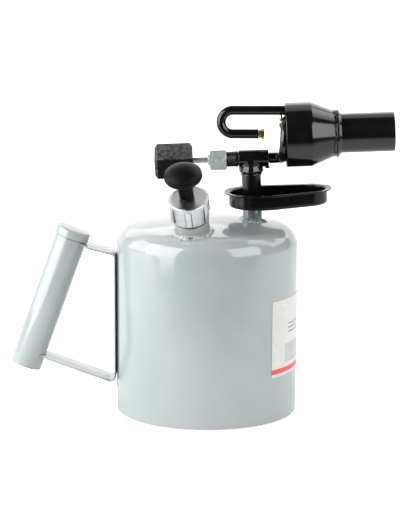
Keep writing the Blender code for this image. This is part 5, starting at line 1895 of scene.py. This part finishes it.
    def build_nut(self) -> None:
        """Makes the gland's hexagon nut with its nose."""
        here = self.placement
        front = -self.tee_lead - self.nut_standoff
        nose_back = self.nut_back - self.nose_length
        corner = self.nut_flats / sqrt(3)
        face = self.nut_flats / 2
        inside = self.stub_radius + GAP
        nut = Bench.prism("nut", corner, 6, nose_back, front, pi / 6)
        Bench.round_edges(nut, self.edge_softness, 2, 50)
        corners = [
            (self.stub_bore, nose_back), (self.nose_radius, nose_back), (self.nose_radius, self.nut_back),
            (face, self.nut_back), (corner + 0.0002, self.nut_back + self.nut_chamfer),
            (corner + 0.0002, front - self.nut_chamfer), (face, front), (inside, front),
            (inside, self.nut_back + self.nut_shoulder),
            (self.stub_bore, self.nut_back + self.nut_shoulder),
        ]
        profile = softened(corners, [0.0004, 0, 0.0003, 0, 0, 0.0003, 0.0002, 0], 4)
        Bench.combine(nut, Bench.turned("core", profile, MIDDLE_TURN_STEPS), "INTERSECT")
        fit(nut, self.nut_finish(), Body.LAMP, "gland_nut", here)

    def nut_finish(self) -> Shader:
        """Zinc, with painted light: the face that looks down to the front painted paler, as if lit, with a
        painted highlight along its upper edge.
        """
        shader = Palette.ZINC.shader("nut_zinc", self.placement)
        _, down, _, _ = shader.axes(self.placement)
        height = shader.product(down, -1.0)
        # Painted light: the lower face is painted paler, as if lit, and a band along its upper edge is
        # painted bright as a highlight.
        lower = shader.fall(height, -0.0012, -0.0008)
        edge = shader.product(lower, shader.ramp(height, -0.0018, -0.0014))
        shader.paint_over(shader.product(lower, 0.7), Tint.PAINTED_LIGHT_ZINC)
        shader.paint_over(edge, Tint.PAINTED_HIGHLIGHT_ZINC)
        return shader

    def build_spindle(self) -> None:
        """Makes the spindle, pointed at its needle end."""
        back = self.knob_front - self.spindle_in_knob
        radius = self.spindle_radius
        corners = [
            (0, back), (radius, back), (radius, self.needle_shoulder), (self.needle_tip, self.needle_end),
            (0, self.needle_end),
        ]
        profile = softened(corners, [0.0003, 0.0003, 0.0002], 4)
        rod = Bench.turned("spindle_rod", profile, TUBE_STEPS)
        fit(rod, Palette.SPINDLE_STEEL, Body.SPINDLE, "valve_spindle", self.placement)

    def build_knob(self) -> None:
        """Makes the square knob, rough as cast, and the screw in its end."""
        here = self.placement
        front = self.knob_front
        back = front - self.knob_length
        half = self.knob_side / 2
        knob = Bench.block("block_knob", (-half, -half, back), (half, half, front))
        Bench.take(knob)
        bpy.ops.object.mode_set(mode="EDIT")
        shape = bmesh.from_edit_mesh(knob.data)
        for edge in shape.edges:
            first, second = edge.verts
            edge.select = abs(first.co.z - second.co.z) > self.knob_length / 2
        shape.select_flush(True)
        bmesh.update_edit_mesh(knob.data)
        bpy.ops.mesh.bevel(offset=self.knob_chamfer, offset_type="OFFSET", segments=1)
        bpy.ops.mesh.select_mode(type="FACE")
        shape = bmesh.from_edit_mesh(knob.data)
        for side in shape.faces:
            side.select = abs(side.normal.z) > END_FACING
        bmesh.update_edit_mesh(knob.data)
        bpy.ops.mesh.inset(thickness=self.knob_end_chamfer)
        shape = bmesh.from_edit_mesh(knob.data)
        for corner in shape.verts:
            if not corner.select and abs(corner.co.z - front) < MERGE_DISTANCE:
                corner.co.z -= self.knob_end_chamfer
            elif not corner.select and abs(corner.co.z - back) < MERGE_DISTANCE:
                corner.co.z += self.knob_end_chamfer
        bmesh.update_edit_mesh(knob.data)
        bpy.ops.mesh.select_mode(type="VERT")
        bpy.ops.object.mode_set(mode="OBJECT")
        Bench.round_edges(knob, self.knob_softness, 2, 20)
        knob.data.transform(Matrix.Rotation(self.knob_turn + pi / 4, 4, "Z"))
        hole = self.screw_radius + SLIDE_GAP
        seat = back + self.recess_depth
        spindle_hole = self.spindle_radius + SLIDE_GAP
        spindle_back = front - self.spindle_in_knob
        drill = Bench.turned(
            "drill",
            [
                (0, back - DRILL_OVERRUN), (self.recess_radius, back - DRILL_OVERRUN),
                (self.recess_radius, seat), (hole, seat), (hole, spindle_back - GAP),
                (spindle_hole, spindle_back - GAP), (spindle_hole, front + DRILL_OVERRUN),
                (0, front + DRILL_OVERRUN),
            ],
            DRILL_STEPS,
        )
        Bench.combine(knob, drill, "DIFFERENCE")
        fit(knob, self.knob_finish(), Body.KNOB, "valve_knob", here)

        head_seat = seat - GAP
        crown = head_seat - self.screw_head_height
        corners = [
            (0, crown), (self.screw_head * 0.72, crown + 0.0002), (self.screw_head, crown + 0.0011),
            (self.screw_head, head_seat), (self.screw_radius, head_seat),
            (self.screw_radius, spindle_back - 2 * GAP), (0, spindle_back - 2 * GAP),
        ]
        profile = softened(corners, [0.001, 0.0005, 0.0002, 0, 0.0002], 5)
        screw = Bench.turned("screw", profile, SMALL_TURN_STEPS)
        half, reach = self.slot_half, self.slot_reach
        slot = Bench.block("slot", (-half, -reach, crown - 0.001), (half, reach, crown + 0.0010))
        slot.data.transform(Matrix.Rotation(self.slot_turn, 4, "Z"))
        Bench.combine(screw, slot, "DIFFERENCE")
        fit(screw, Palette.ZINC, Body.KNOB, "knob_screw", here)

    def knob_finish(self) -> Shader:
        """Rough casting with painted light: a lighter upper face with more sheen, as if lit, black below as
        if shaded, and a worn front edge and end.
        """
        shader = Palette.KNOB_BLACK.shader("knob_casting", self.placement)
        place, down, aside, along = shader.axes(self.placement)
        height = shader.product(down, -1.0)
        edge = self.knob_side * sqrt(0.5) * sin(-self.knob_turn)
        # Painted light: above the front edge the knob keeps the casting's own colour, as if lit; below it
        # the colour is swapped for a shaded copy.
        upper = shader.ramp(height, edge - 0.0004, edge + 0.0004)
        worn = shader.product(
            shader.ramp(height, edge - 0.0007, edge - 0.0002),
            shader.fall(height, edge + 0.0004, edge + 0.0009),
            shader.fall(aside, -0.004, -0.003),
        )
        back = self.knob_front - self.knob_length
        end = shader.fall(along, back + self.knob_end_chamfer, back + self.knob_end_chamfer * 1.3)
        patches = shader.ramp(shader.noise(place, 700.0, 3.0), 0.40, 0.60)
        rubbed = shader.product(shader.maths("MAXIMUM", worn, end), patches)
        grain = shader.ramp(shader.noise(place, 1500.0, 3.0), 0.40, 0.66)
        # Painted shade: the shaded copy of the casting's colour, for the lower faces.
        under = shader.blend(grain, Tint.SHADED_CASTING_DARK, Tint.SHADED_CASTING_PALE)
        shader.give(shader.blend(upper, under, shader.given("Base Color")), "Base Color")
        shader.paint_over(rubbed, Tint.CASTING_WORN)
        # Painted sheen: more specular on the upper faces than on the lower ones.
        shader.give(shader.maths("ADD", shader.product(upper, 0.22), 0.05), "Specular IOR Level")
        return shader


@dataclass
class Burner:
    """The casing, its ring, the flame tube, the vaporiser coil, the return bend and the jet."""

    head: Placement
    axis_height: float = 0.0577
    valve_height: float = 0.0416
    casing_radius: float = 0.0230
    casing_wall: float = 0.0015
    casing_start: float = 0.0252
    casing_shoulder: float = 0.0434
    shoulder_rounding: float = 0.0045
    cone_end: float = 0.0607
    cone_end_radius: float = 0.0158
    ring_radius: float = 0.0169
    ring_thickness: float = 0.0023
    flame_radius: float = 0.0141
    flame_wall: float = 0.0014
    flame_inset: float = 0.003
    flame_end: float = 0.1027
    coil_tube: float = 0.0034
    coil_bore: float = 0.002
    coil_pitch: float = 0.0074
    coil_near_side: float = 0.0240
    coil_entry_turn: float = radians(26.0)
    coil_entry_handle: float = 0.0030
    coil_straight: float = 0.0006
    coil_exit_rise: float = 0.012
    coil_exit_sweep: float = 0.011
    feed_end: float = 0.0178
    return_tube: float = 0.0034
    return_bore: float = 0.002
    return_pitch: float = radians(2.0)
    return_start: float = 0.0297
    return_offset: float = 0.0175
    upper_leg: float = 0.0414
    lower_leg: float = 0.0182
    bend_radius: float = 0.00845
    jet_spigot: float = 0.004
    jet_neck_radius: float = 0.0029
    jet_neck_length: float = 0.0015
    jet_flats: float = 0.0066
    jet_length: float = 0.0024
    jet_bore: float = 0.0004
    edge_softness: float = 0.00012
    bead_steps: int = 200
    coil_turns_end: float = 2.5 * pi
    coil_steps: int = 90
    entry_steps: int = 16
    exit_steps: int = 24
    bend_steps: int = 36
    sleeve_lead: float = 0.0012
    sleeve_wall: float = 0.0004
    sleeve_points: int = 12
    spots: Sequence[tuple[Sequence[float], float, float]] = (
        ((0.0219, -0.0030, 0.0708), 0.0017, 1.5),
        ((0.0216, -0.0050, 0.0652), 0.0015, 1.3),
        ((0.0226, -0.0012, 0.0690), 0.0013, 1.2),
    )
    spot_width: float = 0.75

    @property
    def placement(self) -> Placement:
        """The burner's own frame, with Z along the flame tube."""
        return self.head.inner((0, 0, self.axis_height), pi / 2)

    @property
    def back(self) -> Placement:
        """The return tube's frame, with X along its legs."""
        origin = (self.return_start, 0, self.axis_height + self.return_offset)
        return self.head.inner(origin, self.return_pitch)

    def build(self) -> None:
        """Makes the burner's pieces."""
        self.build_casing()
        self.build_flame_tube()
        self.build_coil()
        self.build_jet()

    def build_casing(self) -> None:
        """Makes the casing, a drum that narrows to a cone."""
        outer, wall = self.casing_radius, self.casing_wall
        inner = outer - wall
        shoulder = self.casing_shoulder
        corners = [
            (inner, self.casing_start + 0.001), (inner, self.casing_start), (outer, self.casing_start),
            (outer, shoulder), (self.cone_end_radius, self.cone_end),
            (self.cone_end_radius - wall, self.cone_end), (inner, shoulder - wall / 4),
        ]
        profile = softened(corners, [0.0004, 0.0006, self.shoulder_rounding, 0.0003, 0], 10)
        fit(Bench.turned("casing", profile), Palette.ENAMEL, Body.LAMP, "burner_casing", self.placement)

    def build_flame_tube(self) -> None:
        """Makes the ring with its welds, and the flame tube."""
        here = self.placement
        bore = self.flame_radius + GAP
        start = self.cone_end + GAP
        end = start + self.ring_thickness
        corners = [
            (bore, start), (self.ring_radius, start), (self.ring_radius, end), (bore + 0.0009, end),
            (bore + 0.0004, end + 0.0013), (bore, end + 0.0013),
        ]
        profile = softened(corners, [0.0007, 0.0007, 0.0003, 0.0002])
        ring = Bench.turned("ring", profile)

        def lumpy(place: Vector) -> Vector:
            """Gives the ring's edge the uneven look of a weld run.

            Args:
                place: the vertex's place.

            Returns:
                Its new place.
            """
            reach, turn = polar(place)
            out = max(0.0, reach - bore - 0.0012) / 0.0014
            push = waves(turn, (4, 0.9, 0.00022), (9, 2.0, 0.00016), (23, 0.0, 0.00008))
            share = 1 + out * push / reach
            return Vector((place.x * share, place.y * share, place.z + out * 0.5 * push))

        Bench.reshape(ring, lumpy)
        fit(ring, Palette.WELD_ENAMEL, Body.LAMP, "cone_ring", here)

        seat = self.cone_end_radius
        corners = [
            (seat - 0.0004, start - 0.0001), (seat - 0.0002, start - 0.0022),
            (seat + 0.0010, start - 0.0012), (seat + 0.0008, start - 0.0001),
        ]
        line = softened(corners, [0.0004, 0.0005], 5)
        bead = Bench.turned("ring_weld", line, self.bead_steps)

        def blobs(place: Vector) -> Vector:
            """Gives the bead its run of blobs.

            Args:
                place: the vertex's place.

            Returns:
                Its new place.
            """
            reach, turn = polar(place)
            beat = 0.5 + 0.5 * sin(6 * turn + 1.2 + sin(3 * turn))
            beat += 0.25 * sin(17 * turn)
            out = max(0.0, reach - seat)
            lift = (start - place.z) * (0.55 + 0.65 * beat)
            radius = reach + out * 0.5 * (beat - 0.5)
            return Vector((radius * cos(turn), radius * sin(turn), start - lift))

        Bench.reshape(bead, blobs)
        add_to(bead, Palette.WELD_ENAMEL, Body.LAMP, here)

        inner = self.flame_radius - self.flame_wall
        back = start - self.flame_inset
        corners = [
            (inner, back), (self.flame_radius, back), (self.flame_radius, self.flame_end),
            (inner, self.flame_end), (inner, back + 0.001),
        ]
        profile = softened(corners, [0, 0.0003, 0.0003])
        fit(Bench.turned("flame_pipe", profile), self.flame_finish(), Body.LAMP, "flame_tube", here)

    def flame_finish(self) -> Shader:
        """The enamel, burnt a little brown at the tube's mouth."""
        shader = Palette.ENAMEL.shader("flame_tube_enamel", self.placement)
        place, _, _, along = shader.axes(self.placement)
        mouth = shader.ramp(along, self.flame_end - 0.0012, self.flame_end - 0.0002)
        shader.paint_over(shader.product(mouth, shader.patches(place, 300.0, 0.35, 0.65)), Tint.BURNT_ENAMEL)
        return shader

    def coil_point(self, turn: float) -> Vector:
        """A place on the coil's centre line, which rises on the -Y side.

        Args:
            turn: how far round the coil it is, in radians.

        Returns:
            The place, in the head's frame.
        """
        top = self.axis_height + self.return_offset - self.return_tube - self.coil_tube - GAP
        radius = (top - self.valve_height) / 2
        along = self.coil_near_side + self.coil_pitch * (turn / tau - 0.25)
        return Vector((along, -radius * sin(turn), top - radius - radius * cos(turn)))

    def coil_line(self) -> list[Vector]:
        """Centre line: out of the feed tube, round a turn and a quarter, and up and back."""
        entry = Vector((self.feed_end + GAP, 0, self.valve_height))
        first = self.coil_point(self.coil_entry_turn)
        ahead = Vector((0, -cos(self.coil_entry_turn), sin(self.coil_entry_turn)))
        straight = entry + Vector((self.coil_straight, 0, 0))
        handle = Vector((self.coil_entry_handle, 0, 0))
        handles = (straight + handle, first - ahead * self.coil_entry_handle)
        line = [entry, *curve_between(straight, *handles, first, self.entry_steps)]
        last = self.coil_turns_end
        sweep = last - self.coil_entry_turn
        for step in range(self.coil_steps):
            line.append(self.coil_point(self.coil_entry_turn + sweep * step / self.coil_steps))
        leaving = self.coil_point(last)
        end = Vector((self.return_start + GAP, 0, self.axis_height + self.return_offset))
        back = Vector((cos(self.return_pitch), 0, -sin(self.return_pitch)))
        short = end + back * self.coil_straight
        handles = (leaving + Vector((0, 0, self.coil_exit_rise)), end + back * self.coil_exit_sweep)
        line += curve_between(leaving, *handles, short, self.exit_steps)
        return line + [short, end]

    def build_coil(self) -> None:
        """Makes the coil, the bent return tube and the blobs of brass that braze them."""
        coil = Bench.piped("coil", self.coil_line(), self.coil_tube, self.coil_bore)
        fit(coil, Palette.COIL_ENAMEL, Body.LAMP, "vaporiser_coil", self.head)
        start = Vector((self.feed_end - self.sleeve_lead, 0, self.valve_height))
        line = [start] + self.coil_line()[:self.sleeve_points]
        wall = self.sleeve_wall
        sleeve = Bench.piped("coil_entry", line, self.coil_tube + wall, self.coil_tube - wall)
        add_to(sleeve, Palette.ENAMEL, Body.LAMP, self.head)

        radius = self.bend_radius
        line = [Vector((0, 0, 0))]
        for x, z in arc((-self.upper_leg, -radius), radius, pi / 2, 1.5 * pi, self.bend_steps):
            line.append(Vector((x, 0, z)))
        line.append(Vector((self.lower_leg - self.upper_leg, 0, -2 * radius)))
        bend = Bench.piped("bend", line, self.return_tube, self.return_bore, 40)
        fit(bend, Palette.ENAMEL, Body.LAMP, "return_bend", self.back)

        for number, (centre, size, stretch) in enumerate(self.spots):
            spot = Bench.ball(f"braze_{number}", size)

            def blob(place: Vector, phase: int = number) -> Vector:
                """Makes the ball uneven."""
                beat = sin(1900 * place.x + phase) * cos(1500 * place.z + 2 * phase)
                return place * (1 + 0.16 * beat)

            Bench.reshape(spot, blob)
            spot.data.transform(Matrix.Diagonal((self.spot_width, 1.0, stretch, 1)))
            spot.data.transform(Matrix.Translation(centre))
            add_to(spot, Palette.BRAZE, Body.LAMP, self.head)

    def build_jet(self) -> None:
        """Makes the brass jet on the return tube's end."""
        here = self.back.inner((self.lower_leg - self.upper_leg, 0, -2 * self.bend_radius), pi / 2)
        end = GAP + self.jet_neck_length + self.jet_length
        corner = self.jet_flats / sqrt(3)
        spigot = self.return_bore - 0.0002
        jet = Bench.prism("nozzle", corner, 6, -self.jet_spigot, end, 0)
        Bench.round_edges(jet, self.edge_softness, 2, 50)
        corners = [
            (self.jet_bore, -self.jet_spigot), (spigot, -self.jet_spigot), (spigot, GAP),
            (self.jet_neck_radius, GAP), (self.jet_neck_radius, GAP + self.jet_neck_length),
            (corner + 0.0002, GAP + self.jet_neck_length + 0.0002), (corner + 0.0002, end - 0.0006),
            (self.jet_neck_radius, end), (0.0012, end), (self.jet_bore, end - 0.0009),
        ]
        profile = softened(corners, [0.0002, 0, 0.0002, 0, 0, 0, 0.0002, 0.0001], 4)
        Bench.combine(jet, Bench.turned("core", profile, SMALL_TURN_STEPS), "INTERSECT")
        fit(jet, Palette.BRASS, Body.LAMP, "jet", here)


def dress_carried_nodes() -> None:
    """Gives the CAD nodes that stay as they are their finishes."""
    finishes = {
        "dip_tube": Palette.STEEL,
        "fuel_strainer": Palette.BRASS,
        "gland_packing": Palette.GRAPHITE,
        "gland_follower": Palette.BRASS,
        "valve_seat": Palette.BRASS,
        "pump_barrel": Palette.STEEL,
        "foot_valve_cage": Palette.BRASS,
        "foot_valve_seal": Palette.RUBBER,
        "foot_valve_poppet": Palette.BRASS,
        "foot_valve_spring": Palette.STEEL,
        "pump_rod": Palette.STEEL,
        "piston_cup": Palette.LEATHER,
        "piston_washer": Palette.ZINC,
        "piston_nut": Palette.BRASS,
    }
    for node, finish in finishes.items():
        clad(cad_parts[node], finish.shader(f"{node}_finish").material)
        LOG.info("%s keeps its CAD shape", node)


@dataclass
class Studio:
    """The camera, the lights, the floor and the world."""

    camera_place: tuple[float, float, float] = (-0.00141, -1.47333, 0.39380)
    right: tuple[float, float, float] = (0.99999, 0.00095, 0.00497)
    up: tuple[float, float, float] = (-0.00506, 0.18772, 0.98221)
    lens: float = 182.58
    sensor: float = 36.0
    table_front: float = -0.44
    table_fade: float = 0.20
    sweep_half: float = 1.7
    sweep_bend: float = 0.4
    sweep_height: float = 1.7
    table_glow: float = 0.68
    table_mirror_glow: float = 0.16
    backdrop_glow: float = 1.0
    backdrop_mirror_glow: float = 0.75
    backdrop_steps: int = 12
    aim_height: float = 0.12
    world_strength: float = 0.03
    world_seen_strength: float = 1.02
    lights: Sequence[tuple[str, float, float, float, Point, float]] = (
        ("left_softbox", -60, 18, 1.2, (1.0, 1.2), 18.3),
        ("left_rear_softbox", -95, 20, 1.2, (0.8, 0.9), 6.5),
        ("right_softbox", 51, 20, 1.2, (0.86, 0.95), 9.6),
        ("right_rear_softbox", 112, 40, 1.2, (0.8, 0.9), 5.0),
        ("top_softbox", 180, 50, 1.4, (2.6, 1.6), 12.5),
    )

    def build(self) -> None:
        """Sets up the view, the lights and the floor."""
        camera_data = bpy.data.cameras.new("camera")
        camera_data.lens = self.lens
        camera_data.sensor_width = self.sensor
        camera_data.sensor_fit = "HORIZONTAL"
        camera_data.clip_start = 0.01
        camera = bpy.data.objects.new("camera", camera_data)
        bpy.context.scene.collection.objects.link(camera)
        right = Vector(self.right).normalized()
        up = (Vector(self.up) - right * Vector(self.up).dot(right)).normalized()
        turn = Matrix((right, up, right.cross(up))).transposed().to_4x4()
        camera.matrix_world = Matrix.Translation(self.camera_place) @ turn
        bpy.context.scene.camera = camera
        for row in self.lights:
            self.light(*row)
        self.sweep("table", self.table_line(), self.table_glow, self.table_mirror_glow)
        self.sweep("backdrop", self.backdrop_line(), self.backdrop_glow, self.backdrop_mirror_glow)
        self.world()
        bpy.context.scene.view_settings.view_transform = "Standard"

    def light(
        self, name: str, bearing: float, height: float, distance: float, size: Point, power: float
    ) -> None:
        """Adds a soft light aimed at the lamp.

        Args:
            name: its name.
            bearing: its direction from the lamp, in degrees from the camera's side towards +X.
            height: its elevation, in degrees.
            distance: how far off it stands.
            size: its width and height.
            power: its power, in watts.
        """
        data = bpy.data.lights.new(name, "AREA")
        data.shape = "RECTANGLE"
        data.size, data.size_y = size
        data.energy = power
        lamp = bpy.data.objects.new(name, data)
        bpy.context.scene.collection.objects.link(lamp)
        turn, rise = radians(bearing), radians(height)
        away = Vector((sin(turn) * cos(rise), -cos(turn) * cos(rise), sin(rise)))
        lamp.location = Vector((0, 0, self.aim_height)) + away * distance
        lamp.rotation_euler = (-away).to_track_quat("-Z", "Y").to_euler()

    def table_line(self) -> list[Point]:
        """The table's side view: it ends before the lamp."""
        return [(self.table_front, 0.0), (self.sweep_half - self.sweep_bend, 0.0)]

    def backdrop_line(self) -> list[Point]:
        """The backdrop's side view: it bends up from the table."""
        back = self.sweep_half
        centre = (back - self.sweep_bend, self.sweep_bend)
        bend = arc(centre, self.sweep_bend, -pi / 2, 0, self.backdrop_steps)
        return bend + [(back, self.sweep_height)]

    def sweep(self, name: str, line: Profile, seen_glow: float, mirrored_glow: float) -> None:
        """Hangs a white sheet.

        Args:
            name: its name.
            line: its side view.
            seen_glow: what it adds for the camera.
            mirrored_glow: what it adds in reflections.
        """
        half = self.sweep_half
        outline = [(-half, y, z) for y, z in line]
        sheet = Bench.start(name, outline[0])
        Bench.draw(outline)
        bpy.ops.mesh.select_all(action="SELECT")
        bpy.ops.mesh.extrude_region_move(TRANSFORM_OT_translate={"value": (2 * half, 0, 0)})
        bpy.ops.object.mode_set(mode="OBJECT")
        if sheet.data.polygons[0].normal.z < 0:
            sheet.data.flip_normals()
        shader = Shader(f"{name}_white")
        _, _, away, _ = shader.axes(HERE)
        near = shader.ramp(away, self.table_front, self.table_front + self.table_fade)
        path = shader.add("ShaderNodeLightPath")
        seen = path.outputs["Is Camera Ray"]
        lit = shader.maths("MAXIMUM", near, seen)
        shader.give(shader.blend(lit, Tint.SHEET_DARK, Tint.SHEET_WHITE), "Base Color")
        shader.surface.inputs["Roughness"].default_value = 0.9
        shader.surface.inputs["Specular IOR Level"].default_value = 0.0
        mirrored = shader.product(path.outputs["Is Glossy Ray"], mirrored_glow, near)
        glow = shader.add("ShaderNodeEmission")
        shader.link(shader.maths("ADD", shader.product(seen, seen_glow), mirrored), glow.inputs["Strength"])
        both = shader.add("ShaderNodeAddShader")
        shader.link(shader.surface.outputs["BSDF"], both.inputs[0])
        shader.link(glow.outputs["Emission"], both.inputs[1])
        behind = shader.add("ShaderNodeNewGeometry").outputs["Backfacing"]
        one_sided = shader.add("ShaderNodeMixShader")
        shader.link(shader.product(seen, behind), one_sided.inputs["Fac"])
        shader.link(both.outputs["Shader"], one_sided.inputs[1])
        shader.link(shader.add("ShaderNodeBsdfTransparent").outputs["BSDF"], one_sided.inputs[2])
        shader.link(one_sided.outputs["Shader"], shader.tree.nodes["Material Output"].inputs["Surface"])
        clad(sheet, shader.material)
        sheet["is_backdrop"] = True

    def world(self) -> None:
        """Sets a dim even world, white to the camera."""
        world = bpy.data.worlds.new("studio")
        world.use_nodes = True
        tree = world.node_tree
        background = tree.nodes["Background"]
        background.inputs["Color"].default_value = (1, 1, 1, 1)
        path = tree.nodes.new("ShaderNodeLightPath")
        strength = tree.nodes.new("ShaderNodeMapRange")
        strength.inputs["To Min"].default_value = self.world_strength
        strength.inputs["To Max"].default_value = self.world_seen_strength
        tree.links.new(path.outputs["Is Camera Ray"], strength.inputs["Value"])
        tree.links.new(strength.outputs["Result"], background.inputs["Strength"])
        bpy.context.scene.world = world


def write_sizes() -> None:
    """Works out the CAD box and the dressed part's box side by side; nothing is written or kept."""
    boxes = {"cad": CAD_BOX, "visual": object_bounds()}
    plain = {name: [[float(value) for value in corner] for corner in box] for name, box in boxes.items()}


def main() -> None:
    """Builds the lamp's looks and the studio."""
    logging.basicConfig(level=logging.INFO, format="%(name)s: %(message)s")
    Studio().build()
    tank = Tank()
    filler = Filler(tank)
    riser = FuelRiser(tank)
    tank.build([(filler.placement, filler.neck_bore), (riser.placement, riser.bush_bore)])
    Handle().build()
    filler.build()
    riser.build()
    NeedleValve(riser.placement).build()
    Burner(riser.placement).build()
    dress_carried_nodes()
    write_sizes()


if __name__ == "__main__":
    main()
